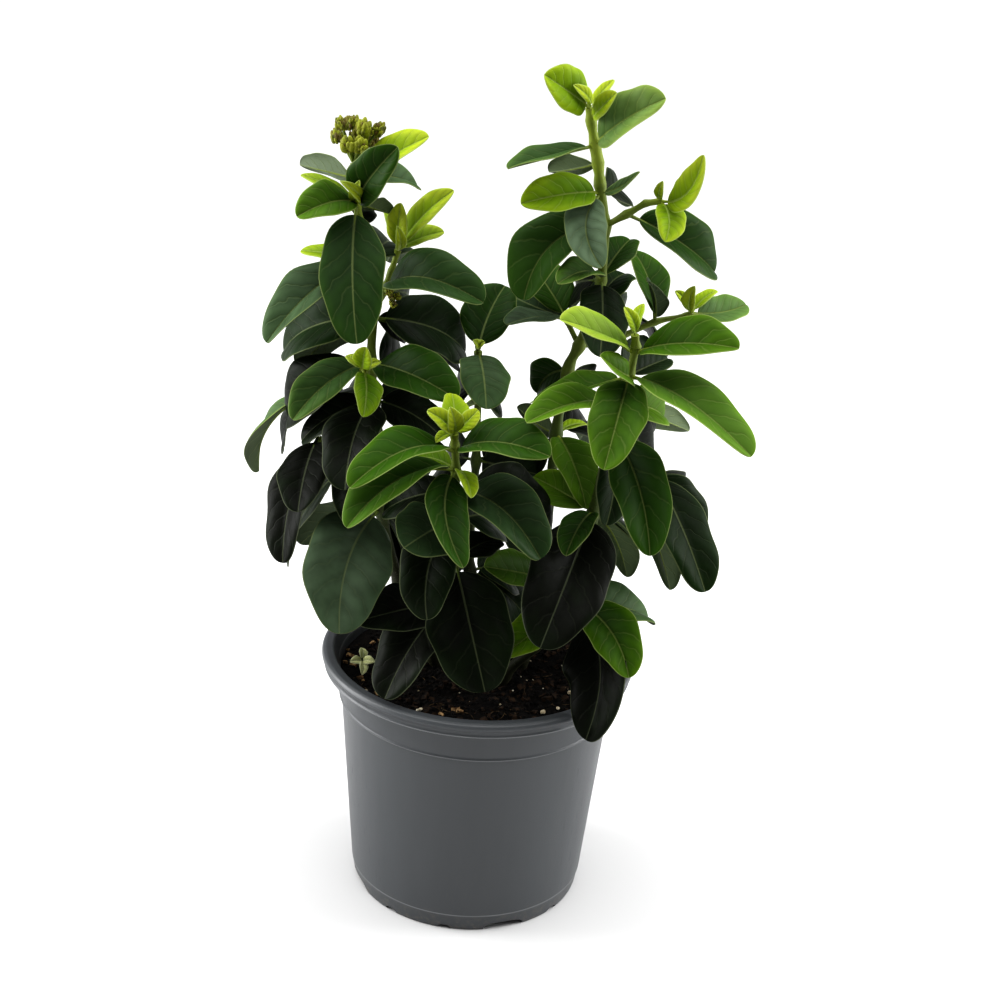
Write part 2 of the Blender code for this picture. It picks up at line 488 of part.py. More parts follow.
# Colours as linear red, green, blue, with roughness
FINISHES = {
    "pot": ((0.060, 0.066, 0.072), 0.42),
    "soil": ((0.012, 0.009, 0.007), 0.95),
    "leafy": ((0.018, 0.060, 0.010), 0.38),
    "young": ((0.130, 0.260, 0.020), 0.45),
    "buds": ((0.150, 0.160, 0.030), 0.60),
    "seedling": ((0.420, 0.440, 0.190), 0.60),
}


class View:
    """The front view that places on the plant are given in, all in mm."""

    def __init__(self):
        tilt = math.radians(VIEW_ELEVATION)
        roll = math.radians(VIEW_ROLL)
        self.forward = Vector((0.0, math.cos(tilt), -math.sin(tilt)))
        across = Vector((1.0, 0.0, 0.0))
        upward = across.cross(self.forward)
        self.right = across * math.cos(roll) + upward * math.sin(roll)
        self.up = upward * math.cos(roll) - across * math.sin(roll)
        target = Vector((0.0, 0.0, VIEW_TARGET_HEIGHT))
        self.eye = (target - self.forward * VIEW_DISTANCE
                    - self.right * VIEW_SHIFT[0] - self.up * VIEW_SHIFT[1])

    def ray(self, pixel):
        """The unit direction from the eye through a pixel."""
        x = (pixel[0] - VIEW_CENTRE) / VIEW_FOCAL
        y = (VIEW_CENTRE - pixel[1]) / VIEW_FOCAL
        return (self.forward + self.right * x + self.up * y).normalized()

    def at_depth(self, pixel, depth):
        """The point under a pixel that lies depth behind the pot's axis."""
        ray = self.ray(pixel)
        return self.eye + ray * ((depth - self.eye.y) / ray.y)

    def at_length(self, base, pixel, length, lean):
        """The point under a pixel that is length away from base, on the near or the far side."""
        ray = self.ray(pixel)
        along = (base - self.eye).dot(ray)
        foot = self.eye + ray * along
        spare = length * length - (foot - base).length_squared
        return foot + ray * (lean * math.sqrt(max(spare, 0.0)))


VIEW = View()


def finish(name, kind):
    """A plain material of one of the finishes."""
    colour, roughness = FINISHES[kind]
    material = bpy.data.materials.new(name)
    material.use_nodes = True
    shader = material.node_tree.nodes["Principled BSDF"]
    shader.inputs["Base Color"].default_value = (*colour, 1.0)
    shader.inputs["Roughness"].default_value = roughness
    material.diffuse_color = (*colour, 1.0)
    return material


def new_object(name, vertices, faces, collection=None):
    """An object from vertices in mm and faces, linked to the scene or to a collection."""
    mesh = bpy.data.meshes.new(name)
    mesh.from_pydata([tuple(Vector(v) * MM) for v in vertices], [], faces)
    mesh.validate()
    item = bpy.data.objects.new(name, mesh)
    (collection or bpy.context.scene.collection).objects.link(item)
    return item


def applied_boolean(item, operation, collection):
    """Cut or join a collection's solids into an object for good, and remove them."""
    modifier = item.modifiers.new("join", "BOOLEAN")
    modifier.operation = operation
    modifier.operand_type = "COLLECTION"
    modifier.collection = collection
    modifier.solver = "EXACT"
    evaluated = item.evaluated_get(bpy.context.evaluated_depsgraph_get())
    mesh = bpy.data.meshes.new_from_object(evaluated)
    old = item.data
    item.modifiers.clear()
    item.data = mesh
    mesh.name = item.name
    bpy.data.meshes.remove(old)
    for tool in list(collection.objects):
        bpy.data.objects.remove(tool, do_unlink=True)
    bpy.data.collections.remove(collection)


def dress(item, kind, smooth_angle=None):
    """Give an object its one material, and shade it smooth up to an angle."""
    item.data.materials.clear()
    item.data.materials.append(finish(item.name, kind))
    if smooth_angle is not None:
        item.data.shade_smooth()
        item.data.set_sharp_from_angle(angle=math.radians(smooth_angle))


def tools_collection(name):
    """A collection for solids that are about to be cut away or joined."""
    collection = bpy.data.collections.new(name)
    bpy.context.scene.collection.children.link(collection)
    return collection


def turned(profile, sides):
    """Vertices and faces of a profile turned about Z, from pole to pole, bottom pole first."""
    vertices = []
    rings = []
    for radius, height in profile:
        count = sides if radius > 0.0 else 1
        rings.append(range(len(vertices), len(vertices) + count))
        for i in range(count):
            angle = 2.0 * math.pi * i / count
            vertices.append((radius * math.cos(angle), radius * math.sin(angle), height))
    faces = []
    for low, high in zip(rings, rings[1:]):
        for i in range(sides):
            j = (i + 1) % sides
            if len(low) == 1:
                faces.append((low[0], high[j], high[i]))
            elif len(high) == 1:
                faces.append((low[i], low[j], high[0]))
            else:
                faces.append((low[i], low[j], high[j], high[i]))
    return vertices, faces


def box_at_angle(angle, half_angle, inner, outer, low, high):
    """A wedge-shaped block round Z, for cutting an arch in the foot ring. It has a rounded top."""
    vertices = []
    for step in range(ARCH_STEPS + 1):
        share = -1.0 + 2.0 * step / ARCH_STEPS
        turn = math.radians(angle + half_angle * share)
        shoulder = abs(share) ** ARCH_SQUARENESS * ARCH_SHOULDER_DROP
        top = low + (high - low) * math.sqrt(1.0 - shoulder)
        for radius in (inner, outer):
            for height in (low - CUT_OVER, top):
                vertices.append((radius * math.cos(turn), radius * math.sin(turn), height))
    faces = [(2, 3, 1, 0)]
    for step in range(ARCH_STEPS):
        a = 4 * step
        b = a + 4
        faces += [(a + 1, b + 1, b, a), (b + 2, b + 3, a + 3, a + 2)]
        faces += [(b, b + 2, a + 2, a), (a + 3, b + 3, b + 1, a + 1)]
    end = 4 * ARCH_STEPS
    faces.append((end + 1, end + 3, end + 2, end))
    return vertices, faces


def inner_profile(shrink):
    """The pot's inside from floor to lip, taken in by shrink, in mm."""
    return [(WALL_FOOT_RADIUS - WALL - INNER_FOOT_EASE - shrink, FLOOR_TOP + shrink),
            (WALL_FOOT_RADIUS - WALL - shrink, WALL_FOOT_HEIGHT),
            (STEP_RADIUS - WALL - shrink, STEP_HEIGHT),
            (BAND_FOOT_RADIUS - WALL - shrink, STEP_HEIGHT + STEP_SLOPE)]


def build_pot():
    """The nursery pot: a turned shell with a rolled lip, arches in its foot ring and drain holes."""
    inside = inner_profile(0.0)
    profile = [(0.0, FLOOR_UNDER),
               (FOOT_RADIUS - FOOT_RING_WIDTH, FLOOR_UNDER),
               (FOOT_RADIUS - FOOT_RING_WIDTH, 0.0),
               (FOOT_RADIUS, 0.0),
               (FOOT_RADIUS + FOOT_FLARE[0], FOOT_FLARE[1]),
               (WALL_FOOT_RADIUS - WALL_FOOT_EASE[0], WALL_FOOT_HEIGHT - WALL_FOOT_EASE[1]),
               (WALL_FOOT_RADIUS, WALL_FOOT_HEIGHT),
               (STEP_RADIUS, STEP_HEIGHT),
               (BAND_FOOT_RADIUS, STEP_HEIGHT + STEP_SLOPE),
               (BAND_TOP_RADIUS, LIP_UNDER_HEIGHT - BAND_TOP_DROP),
               (LIP_UNDER_RADIUS, LIP_UNDER_HEIGHT)]
    profile += [(LIP_RADIUS + out, POT_HEIGHT + rise) for out, rise in LIP_ROLL]
    profile += [(LIP_INNER_RADIUS + out, POT_HEIGHT + rise) for out, rise in LIP_INNER_ROLL]
    profile.append((BAND_TOP_RADIUS - WALL, LIP_UNDER_HEIGHT - BAND_TOP_DROP))
    profile += list(reversed(inside))
    profile.append((0.0, FLOOR_TOP))
    pot = new_object("pot", *turned(profile, POT_SIDES))
    cutters = tools_collection("pot_cutters")
    for i in range(ARCH_COUNT):
        width, height = SMALL_ARCH if i % WIDE_ARCH_EVERY else WIDE_ARCH
        angle = ARCH_FIRST_ANGLE + i * 360.0 / ARCH_COUNT
        block = box_at_angle(angle, width / 2.0, FOOT_RADIUS - FOOT_RING_WIDTH - CUT_OVER,
                             WALL_FOOT_RADIUS + CUT_OVER, 0.0, height)
        new_object("arch_cutter", *block, cutters)
    for i in range(DRAIN_HOLES):
        angle = 2.0 * math.pi * (i + 0.5) / DRAIN_HOLES
        centre = Vector((math.cos(angle), math.sin(angle), 0.0)) * DRAIN_HOLE_CIRCLE
        low = FLOOR_UNDER - CUT_OVER
        high = FLOOR_TOP + CUT_OVER
        hole = turned([(0.0, low), (DRAIN_HOLE_RADIUS, low), (DRAIN_HOLE_RADIUS, high), (0.0, high)],
                      SMALL_HOLE_SIDES)
        new_object("hole_cutter", [Vector(v) + centre for v in hole[0]], hole[1], cutters)
    applied_boolean(pot, "DIFFERENCE", cutters)
    dress(pot, "pot", POT_SMOOTH_ANGLE)
    return pot


def soil_height(x, y):
    """The height of the potting mix, in mm: low mounds that die out towards the wall."""
    share = min(1.0, math.hypot(x, y) / (BAND_TOP_RADIUS - WALL))
    mounds = math.sin(x * MOUNDS_ACROSS[0] + MOUNDS_ACROSS[1])
    mounds *= math.cos(y * MOUNDS_DEEP[0] + MOUNDS_DEEP[1])
    mounds += MOUNDS_SLANTED[1] * math.sin((x + y) * MOUNDS_SLANTED[0])
    return SOIL_HEIGHT + SOIL_RELIEF * mounds * (1.0 - share ** 4)


def build_soil(stem_feet):
    """The potting mix: it fills the pot, and each stem stands in a plain hole in it."""
    side = inner_profile(GAP)
    share = (SOIL_HEIGHT - side[-1][1]) / (LIP_UNDER_HEIGHT - BAND_TOP_DROP - side[-1][1])
    top_radius = side[-1][0] + (BAND_TOP_RADIUS - BAND_FOOT_RADIUS) * share
    profile = [(0.0, FLOOR_TOP + GAP)] + side + [(top_radius, SOIL_HEIGHT)]
    profile += [(top_radius * ring, SOIL_HEIGHT) for ring in reversed(SOIL_RINGS)]
    profile.append((0.0, SOIL_HEIGHT))
    vertices, faces = turned(profile, SOIL_SIDES)
    raised = []
    for x, y, z in vertices:
        level = soil_height(x, y) if z == SOIL_HEIGHT else z
        raised.append((x, y, level))
    soil = new_object("soil", raised, faces)
    holes = tools_collection("soil_holes")
    for (x, y), radius in stem_feet:
        width = radius + HOLE_CLEARANCE
        low = STEM_FOOT - GAP
        high = STEM_OUT + HOLE_ABOVE
        hole = turned([(0.0, low), (width, low), (width, high), (0.0, high)], SMALL_HOLE_SIDES)
        new_object("stem_hole", [Vector(v) + Vector((x, y, 0.0)) for v in hole[0]], hole[1], holes)
    applied_boolean(soil, "DIFFERENCE", holes)
    dress(soil, "soil")
    return soil


class Plant:
    """The stems' joints in space, and each stem's path."""

    def __init__(self):
        self.joints = {}
        self.topped = {stem.start for stem in STEMS if stem.own_piece}
        self.bodies = {}
        self.paths = []
        self.feet = []
        for stem in STEMS:
            self.add(stem)

    def add(self, stem):
        """Work out where one stem runs, as (point, radius) pairs and its first direction."""
        first_radius = stem.joints[0][3]
        if isinstance(stem.start, str):
            start, parent_radius, parent_way = self.joints[stem.start]
            offset = parent_way * GAP if stem.own_piece else Vector()
            radius = min(parent_radius, first_radius)
            path = [(start + offset, radius)]
            way = parent_way if stem.own_piece else None
        else:
            x, y = stem.start
            path = [(Vector((x, y, STEM_FOOT)), first_radius), (Vector((x, y, STEM_OUT)), first_radius)]
            self.feet.append((stem.start, first_radius))
            way = None
        for name, pixel, depth, radius in stem.joints:
            point = VIEW.at_depth(pixel, depth)
            self.joints[name] = (point, radius, (point - path[-1][0]).normalized())
            self.bodies[name] = stem.body
            path.append((point, radius))
        self.paths.append((stem.body, path, way))

    def leaf_base(self, joint):
        """Where the leaves of a joint start: set back below a young shoot that tops the stem there."""
        point, _, way = self.joints[joint]
        return point - way * LEAF_SET_BACK if joint in self.topped else point


def tube(path, sides, first_way=None):
    """Vertices and faces of a closed tube along (point, radius) pairs in mm."""
    points = [p for p, r in path]
    ways = [(b - a).normalized() for a, b in zip(points, points[1:])]
    vertices = []
    side = ways[0].orthogonal().normalized()
    for i, (point, radius) in enumerate(path):
        before = ways[max(i - 1, 0)]
        after = ways[min(i, len(ways) - 1)]
        way = (before + after).normalized()
        if i == 0 and first_way is not None:
            way = first_way
        side = (side - way * side.dot(way)).normalized()
        across = way.cross(side)
        for k in range(sides):
            angle = 2.0 * math.pi * k / sides
            vertices.append(point + (side * math.cos(angle) + across * math.sin(angle)) * radius)
    faces = [tuple(reversed(range(sides)))]
    for i in range(len(path) - 1):
        for k in range(sides):
            a = i * sides + k
            b = i * sides + (k + 1) % sides
            faces.append((a, b, b + sides, a + sides))
    faces.append(tuple(range((len(path) - 1) * sides, len(path) * sides)))
    return vertices, faces


class LeafPose:
    """Where a leaf lies once its tip's depth and its turn about the midrib are settled."""

    def __init__(self, leaf, base, seed, shift=0.0, turn=0.0):
        self.leaf = leaf
        self.base = base
        tip = VIEW.at_length(base, leaf.tip, leaf.length, leaf.lean)
        tip = tip + VIEW.ray(leaf.tip) * shift
        self.chord = tip - base
        self.normal = self.face(tip, turn)
        self.side = self.chord.normalized().cross(self.normal)
        draw = random.Random(seed)
        self.phase = draw.uniform(0.0, 2.0 * math.pi)
        self.twist = draw.uniform(-TWIST_MOST, TWIST_MOST)

    def face(self, tip, turn):
        """The blade's normal, turned about the chord until it faces the view as far as it should."""
        way = self.chord.normalized()
        to_eye = (VIEW.eye - tip).normalized()
        square = (to_eye - way * to_eye.dot(way)).normalized()
        rising = Vector((0.0, 0.0, 1.0)) - way * way.z
        tilt = math.acos(abs(self.leaf.facing))
        options = []
        for sign in (1.0, -1.0):
            normal = Matrix.Rotation(sign * tilt, 3, way) @ square
            if self.leaf.under:
                normal = -normal
            options.append(normal)
        pick = max if self.leaf.facing > 0.0 else min
        best = pick(options, key=lambda n: n.dot(rising))
        return Matrix.Rotation(math.radians(turn), 3, way) @ best

    def midrib(self, t):
        """The midrib's point at a share t of the way from the stem to the tip."""
        bow = 4.0 * t * (1.0 - t) * self.chord.length
        return self.base + self.chord * t + self.normal * (self.leaf.arch * bow) \
            + self.side * (self.leaf.sweep * bow)

    def half_width(self, t):
        """Half the blade's width at t, in mm."""
        if t <= self.leaf.age.stalk:
            return STALK_HALF_WIDTH * min(1.0, self.leaf.width / FULL_STALK_WIDTH)
        u = (t - self.leaf.age.stalk) / (1.0 - self.leaf.age.stalk)
        swell = math.sin(math.pi * u ** BLADE_MIDDLE)
        blade = swell ** (BLADE_BASE_TAPER if u < 0.5 else self.leaf.age.blunt)
        return max(STALK_HALF_WIDTH * STALK_LEAST, self.leaf.width / 2.0 * blade)

    def station(self, t, thick, grow):
        """The six points across the blade at t: upper left, rib, right, then the lower three."""
        ahead = self.midrib(min(1.0, t + MIDRIB_STEP))
        behind = self.midrib(max(0.0, t - MIDRIB_STEP))
        way = (ahead - behind).normalized()
        normal = (self.normal - way * self.normal.dot(way)).normalized()
        side = way.cross(normal)
        roll = Matrix.Rotation(self.twist * (t - TWIST_FROM), 3, way)
        normal = roll @ normal
        side = roll @ side
        centre = self.midrib(t)
        half = self.half_width(t) + grow
        rise = math.radians(self.leaf.age.rise)
        points = []
        for sign in (-1.0, 0.0, 1.0):
            wave = self.leaf.age.wave * math.sin(WAVE_PACE * t + self.phase + WAVE_LAG * sign)
            lift = (math.sin(rise) + wave) * half * abs(sign)
            points.append(centre + side * (sign * half * math.cos(rise)) + normal * lift)
        upper = [p + normal * (thick / 2.0) for p in points]
        lower = [p - normal * (thick / 2.0) for p in points]
        return upper + lower

    def solid(self, grow=0.0, first=0):
        """Vertices and faces of the blade and its stalk, as one closed solid of triangles."""
        age = self.leaf.age
        stations = age.stations[first:]
        vertices = []
        for t in stations[:-1]:
            thick = (STALK_THICK if t <= age.stalk else age.thick) + 2.0 * grow
            vertices += self.station(t, min(thick, 2.0 * self.half_width(t) + 2.0 * grow), grow)
        point = self.station(1.0, age.thick * TIP_THICK + 2.0 * grow, 0.0)
        vertices += [point[1], point[4]]
        tip_top = len(vertices) - 2
        tip_low = len(vertices) - 1
        faces = [(0, 3, 4), (0, 4, 1), (1, 4, 5), (1, 5, 2)]
        rows = len(stations) - 1
        for i in range(rows - 1):
            a = 6 * i
            b = a + 6
            faces += [(a, a + 1, b + 1), (a, b + 1, b), (a + 1, a + 2, b + 1), (a + 2, b + 2, b + 1)]
            faces += [(a + 3, b + 4, a + 4), (a + 3, b + 3, b + 4)]
            faces += [(a + 4, b + 4, a + 5), (a + 5, b + 4, b + 5)]
            faces += [(a, b, b + 3), (a, b + 3, a + 3), (a + 2, b + 5, b + 2), (a + 2, a + 5, b + 5)]
        a = 6 * (rows - 1)
        faces += [(a, a + 1, tip_top), (a + 1, a + 2, tip_top), (a + 3, tip_low, a + 4)]
        faces += [(a + 4, tip_low, a + 5), (a, tip_top, tip_low), (a, tip_low, a + 3)]
        faces += [(a + 2, tip_low, tip_top), (a + 2, a + 5, tip_low)]
        return vertices, faces


class Obstacle:
    """A settled solid, in mm, that later leaves keep clear of."""

    def __init__(self, body, vertices, faces):
        self.body = body
        self.tree = BVHTree.FromPolygons(vertices, faces)
        self.low = [min(v[k] for v in vertices) for k in range(3)]
        self.high = [max(v[k] for v in vertices) for k in range(3)]

    def meets(self, other):
        """True where the two solids' surfaces cross."""
        for k in range(3):
            if self.low[k] > other.high[k] or other.low[k] > self.high[k]:
                return False
        return bool(self.tree.overlap(other.tree))


def settled_leaves(plant, obstacles):
    """Each leaf's pose: its tip moves along its line of sight, and the blade turns, until it is clear.

    A leaf may cross its own stem's leaves where nothing else is left, because they are fused, but
    crossing another body counts ten times as much.
    """
    poses = []
    for index, leaf in enumerate(LEAVES):
        base = plant.leaf_base(leaf.joint)
        body = plant.bodies[leaf.joint]
        choices = []
        for turn_rank, turn in enumerate(TURNS):
            for step in range(SHIFT_STEPS):
                signs = (1.0,) if step == 0 else (leaf.lean, -leaf.lean)
                rank = step + TURN_COST * turn_rank
                choices += [(rank, step * SHIFT_STEP * sign, turn) for sign in signs]
        choices.sort(key=lambda choice: choice[0])
        best = None
        for _, shift, turn in choices:
            pose = LeafPose(leaf, base, index, shift, turn)
            trial = Obstacle(body, *pose.solid(LEAF_CLEARANCE, 1))
            crossed = {(o.body, id(o)) for o in obstacles if trial.meets(o)}
            cost = sum(1 if name == body else OTHER_BODY_COST for name, _ in crossed)
            if best is None or cost < best[0]:
                best = (cost, pose, trial)
            if cost == 0:
                break
        obstacles.append(best[2])
        poses.append((body, best[1], best[0]))
    return poses


def bud_head_solids(plant, head):
    """The twigs and round buds of one flower head, as closed solids."""
    base, radius, way = plant.joints[head.joint]
    if head.beside:
        way = (VIEW.at_depth(head.tips[0], base.y + head.depth_fan[0]) - base).normalized()
    start = base + way * (GAP + (radius + 2.0 * head.twig if head.beside else 0.0))
    solids = []
    for tip, depth in zip(head.tips, head.depth_fan):
        end = VIEW.at_depth(tip, base.y + depth)
        solids.append(tube([(start, head.twig), (end, head.twig)], THIN_STEM_SIDES, way))
        for k in range(2):
            angle = BUD_PAIR_TURN * k + depth
            spread = head.bud * BUD_PAIR_SPREAD
            spot = end + Vector((math.cos(angle), math.sin(angle), 0.5 - k)) * spread
            size = head.bud * (1.0 - BUD_PAIR_SHRINK * k)
            outline = [(share * size, level * size) for share, level in BUD_PROFILE]
            points, faces = turned(outline, BUD_SIDES)
            solids.append(([Vector(point) + spot for point in points], faces))
    return solids


def fused(name, kind, solids):
    """One node from solids that grow into one another."""
    item = new_object(name, *solids[0])
    parts = tools_collection(name + "_parts")
    for vertices, faces in solids[1:]:
        new_object("part", vertices, faces, parts)
    applied_boolean(item, "UNION", parts)
    dress(item, kind, PLANT_SMOOTH_ANGLE)
    return item


def build_plant(plant, around):
    """Every leafy stem, young shoot, bud head and the seedling, one node each, clear of what is around."""
    solids = {}
    obstacles = []
    for item in around:
        corners = [v.co / MM for v in item.data.vertices]
        obstacles.append(Obstacle(item.name, corners, [tuple(p.vertices) for p in item.data.polygons]))
    for body, path, way in plant.paths:
        sides = THICK_STEM_SIDES if path[0][1] > THICK_STEM else THIN_STEM_SIDES
        shape = tube(path, sides, way)
        solids.setdefault(body, []).append(shape)
        obstacles.append(Obstacle(body, *tube([(p, r + LEAF_CLEARANCE) for p, r in path], sides, way)))
    for head in BUD_HEADS:
        for shape in bud_head_solids(plant, head):
            solids.setdefault(head.body, []).append(shape)
            obstacles.append(Obstacle(head.body, *shape))
    for body, pose, _ in settled_leaves(plant, obstacles):
        solids[body].append(pose.solid())
    for body, shapes in solids.items():
        kind = "seedling" if body == "seedling" else "leafy" if body.startswith("leafy") else "young"
        if body.startswith(("flower", "bud")):
            kind = "buds"
        fused(body, kind, shapes)


def main():
    """Clear the scene and build the pot, the soil and the plant."""
    for item in list(bpy.data.objects):
        bpy.data.objects.remove(item, do_unlink=True)
    plant = Plant()
    build_plant(plant, (build_pot(), build_soil(plant.feet)))


main()
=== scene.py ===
"""Potted laurustinus: the finished look of a young evergreen shrub in its plastic nursery pot.

The plant grows the way its solids do. Every stem joint is a pixel of one front view with a depth
behind the pot's axis, and every leaf reaches from its joint to the pixel of its tip over its real
length, moved a little where it would meet another. Geometry Nodes skin the stems, shape the blades,
scatter the potting mix and set the flower buds.

Lengths in the tables are in millimetres, and MM turns them into metres.
"""
from __future__ import annotations

import json
import logging
import math
import random
from dataclasses import dataclass, field
from enum import Enum
from typing import Callable, Optional, Sequence, Union

import bpy
from mathutils import Matrix, Vector, noise

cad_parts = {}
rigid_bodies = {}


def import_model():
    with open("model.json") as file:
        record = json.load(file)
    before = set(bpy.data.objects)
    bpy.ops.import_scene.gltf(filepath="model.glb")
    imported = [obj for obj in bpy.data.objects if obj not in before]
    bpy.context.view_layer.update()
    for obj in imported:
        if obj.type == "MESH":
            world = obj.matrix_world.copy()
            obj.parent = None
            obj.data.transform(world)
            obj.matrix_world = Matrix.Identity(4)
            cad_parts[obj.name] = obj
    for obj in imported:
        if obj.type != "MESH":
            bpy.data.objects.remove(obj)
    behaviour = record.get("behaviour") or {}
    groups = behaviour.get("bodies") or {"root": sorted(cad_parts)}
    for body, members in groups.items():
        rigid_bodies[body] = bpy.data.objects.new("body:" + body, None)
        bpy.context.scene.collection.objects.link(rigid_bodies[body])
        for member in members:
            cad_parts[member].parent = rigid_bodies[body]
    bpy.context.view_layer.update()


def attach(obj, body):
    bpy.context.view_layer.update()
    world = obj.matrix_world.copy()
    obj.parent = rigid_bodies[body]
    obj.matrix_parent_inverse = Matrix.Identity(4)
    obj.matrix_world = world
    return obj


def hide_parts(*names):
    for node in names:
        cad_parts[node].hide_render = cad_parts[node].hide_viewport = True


LOG = logging.getLogger("laurustinus")
MM = 0.001
Colour = tuple[float, float, float]


# Node trees


def operator(operation: str, reflected: bool = False) -> Callable[["Term", "Value"], "Term"]:
    """A method of Term for one of Python's operators."""
    def method(term: "Term", other: "Value") -> "Term":
        """The operation's result."""
        return term.joined(operation, *((other, term) if reflected else (term, other)))
    return method


class Term:
    """A node's output socket that Python's operators work on.

    Numbers go through Math nodes and vectors through Vector Math nodes.
    """

    def __init__(self, graph: "Graph", socket: bpy.types.NodeSocket) -> None:
        """Wrap a socket."""
        self.graph = graph
        self.socket = socket

    @property
    def is_vector(self) -> bool:
        """True where the socket carries a vector."""
        return self.socket.type in {"VECTOR", "RGBA"}

    def joined(self, operation: str, left: "Value", right: "Value") -> "Term":
        """A new node that joins two values."""
        wide = [isinstance(v, (Vector, tuple)) or (isinstance(v, Term) and v.is_vector)
                for v in (left, right)]
        if not any(wide):
            return self.graph.node("ShaderNodeMath", {"operation": operation}, {0: left, 1: right})
        if operation == "MULTIPLY" and not all(wide):
            arrow, number = (left, right) if wide[0] else (right, left)
            return self.graph.node("ShaderNodeVectorMath", {"operation": "SCALE"},
                                   {0: arrow, "Scale": number})
        return self.graph.node("ShaderNodeVectorMath", {"operation": operation}, {0: left, 1: right})

    __add__, __radd__ = operator("ADD"), operator("ADD", True)
    __sub__, __rsub__ = operator("SUBTRACT"), operator("SUBTRACT", True)
    __mul__, __rmul__ = operator("MULTIPLY"), operator("MULTIPLY", True)
    __truediv__, __pow__, __gt__ = operator("DIVIDE"), operator("POWER"), operator("GREATER_THAN")

    def at_least(self, other: "Value") -> "Term":
        """The greater of the two."""
        return self.joined("MAXIMUM", self, other)

    def apply(self, operation: str) -> "Term":
        """A Math node of one input, such as SINE or ABSOLUTE."""
        return self.graph.node("ShaderNodeMath", {"operation": operation}, {0: self})

    def arrow(self, operation: str, other: Optional["Value"] = None) -> "Term":
        """A Vector Math node, such as NORMALIZE, LENGTH, DOT_PRODUCT or CROSS_PRODUCT."""
        sockets: dict[Union[int, str], Value] = {0: self}
        if other is not None:
            sockets[1] = other
        output = "Value" if operation in {"DOT_PRODUCT", "LENGTH"} else "Vector"
        return self.graph.node("ShaderNodeVectorMath", {"operation": operation}, sockets, output)

    def eased(self, low: float, high: float, first: float = 0.0, last: float = 1.0) -> "Term":
        """This value as a smooth step."""
        return self.graph.node(
            "ShaderNodeMapRange", {"interpolation_type": "SMOOTHSTEP"},
            {"Value": self, "From Min": low, "From Max": high, "To Min": first, "To Max": last})


Value = Union[Term, float, int, bool, str, tuple, Vector, bpy.types.Material, None]


class Graph:
    """A node tree under construction."""

    def __init__(self, tree: bpy.types.NodeTree) -> None:
        """Start on a tree."""
        self.tree = tree

    def node(self, kind: str, settings: Optional[dict] = None, sockets: Optional[dict] = None,
             output: Union[int, str] = 0) -> Term:
        """Add a node.

        Args:
            kind: the node's type.
            settings: its properties, set first; "stops" are a ramp's (position, colour) pairs.
            sockets: the values or links of its inputs, by name or number.
            output: the output that is wanted, by name or number.

        Returns:
            That output.
        """
        item = self.tree.nodes.new(kind)
        for name, value in (settings or {}).items():
            if name == "stops":
                ramp = item.color_ramp
                while len(ramp.elements) < len(value):
                    ramp.elements.new(1.0)
                for element, (position, colour) in zip(ramp.elements, value):
                    element.position = position
                    element.color = (*colour, 1.0)
            else:
                setattr(item, name, value)
        for key, value in (sockets or {}).items():
            self.feed(item.inputs[key], value)
        return Term(self, item.outputs[output])

    def feed(self, socket: bpy.types.NodeSocket, value: Value) -> None:
        """Link a term into a socket, or set the socket's own value."""
        if isinstance(value, Term):
            self.tree.links.new(value.socket, socket)
        elif value is not None:
            socket.default_value = value

    def parts(self, arrow: Term) -> tuple[Term, Term, Term]:
        """A vector's three numbers."""
        split = self.node("ShaderNodeSeparateXYZ", {}, {0: arrow}).socket.node
        return tuple(Term(self, item) for item in split.outputs)

    def mixed(self, share: Value, first: Value, second: Value) -> Term:
        """Two colours mixed."""
        def full(value: Value) -> Value:
            """A colour with its alpha."""
            return (*value, 1.0) if isinstance(value, tuple) and len(value) == 3 else value
        return self.node("ShaderNodeMix", {"data_type": "RGBA"},
                         {0: share, 6: full(first), 7: full(second)}, 2)

    def noise(self, place: Value, scale: float, detail: float = 3.0, rough: float = 0.5) -> Term:
        """Fractal noise between nought and one."""
        return self.node("ShaderNodeTexNoise", {},
                         {"Vector": place, "Scale": scale, "Detail": detail, "Roughness": rough})


class SurfaceGraph(Graph):
    """A material's nodes, with its shader and the coordinates that patterns read."""

    def __init__(self, name: str) -> None:
        """Make the material."""
        self.material = bpy.data.materials.new(name)
        self.material.use_nodes = True
        super().__init__(self.material.node_tree)
        self.shader = self.tree.nodes["Principled BSDF"]
        self.place = self.node("ShaderNodeTexCoord", output="Object")

    def attribute(self, name: str) -> Term:
        """A number stored on the mesh."""
        return self.node("ShaderNodeAttribute", {"attribute_name": name}, output="Fac")

    def finish(self, colour: Value, roughness: Value, height: Optional[Term] = None,
               relief_mm: float = 0.0, **constants: float) -> bpy.types.Material:
        """Wire the shader."""
        self.feed(self.shader.inputs["Base Color"], colour)
        self.feed(self.shader.inputs["Roughness"], roughness)
        if height is not None:
            bump = self.node("ShaderNodeBump", {}, {"Height": height, "Distance": relief_mm * MM})
            self.feed(self.shader.inputs["Normal"], bump)
        for name, value in constants.items():
            self.shader.inputs[name.replace("_", " ")].default_value = value
        return self.material


# Places and sizes, in mm unless said

Pixel = tuple[float, float]
Path = list[tuple[Vector, float]]
Solid = tuple[list, list]
GAP = 0.3

# The front view, in mm, degrees and pixels
VIEW_TARGET_HEIGHT = 70.5
VIEW_DISTANCE = 1100.0
VIEW_ELEVATION = 23.17
VIEW_ROLL = 3.72
VIEW_FOCAL = 1966.0
VIEW_SHIFT = (-16.0, -144.5)
PHOTO_WIDTH = 1000.0
VIEW_CENTRE = PHOTO_WIDTH / 2.0

# Stems, in mm
STEM_FOOT = 101.0
STEM_OUT = 131.0
ROOT_DEPTH = 0.4

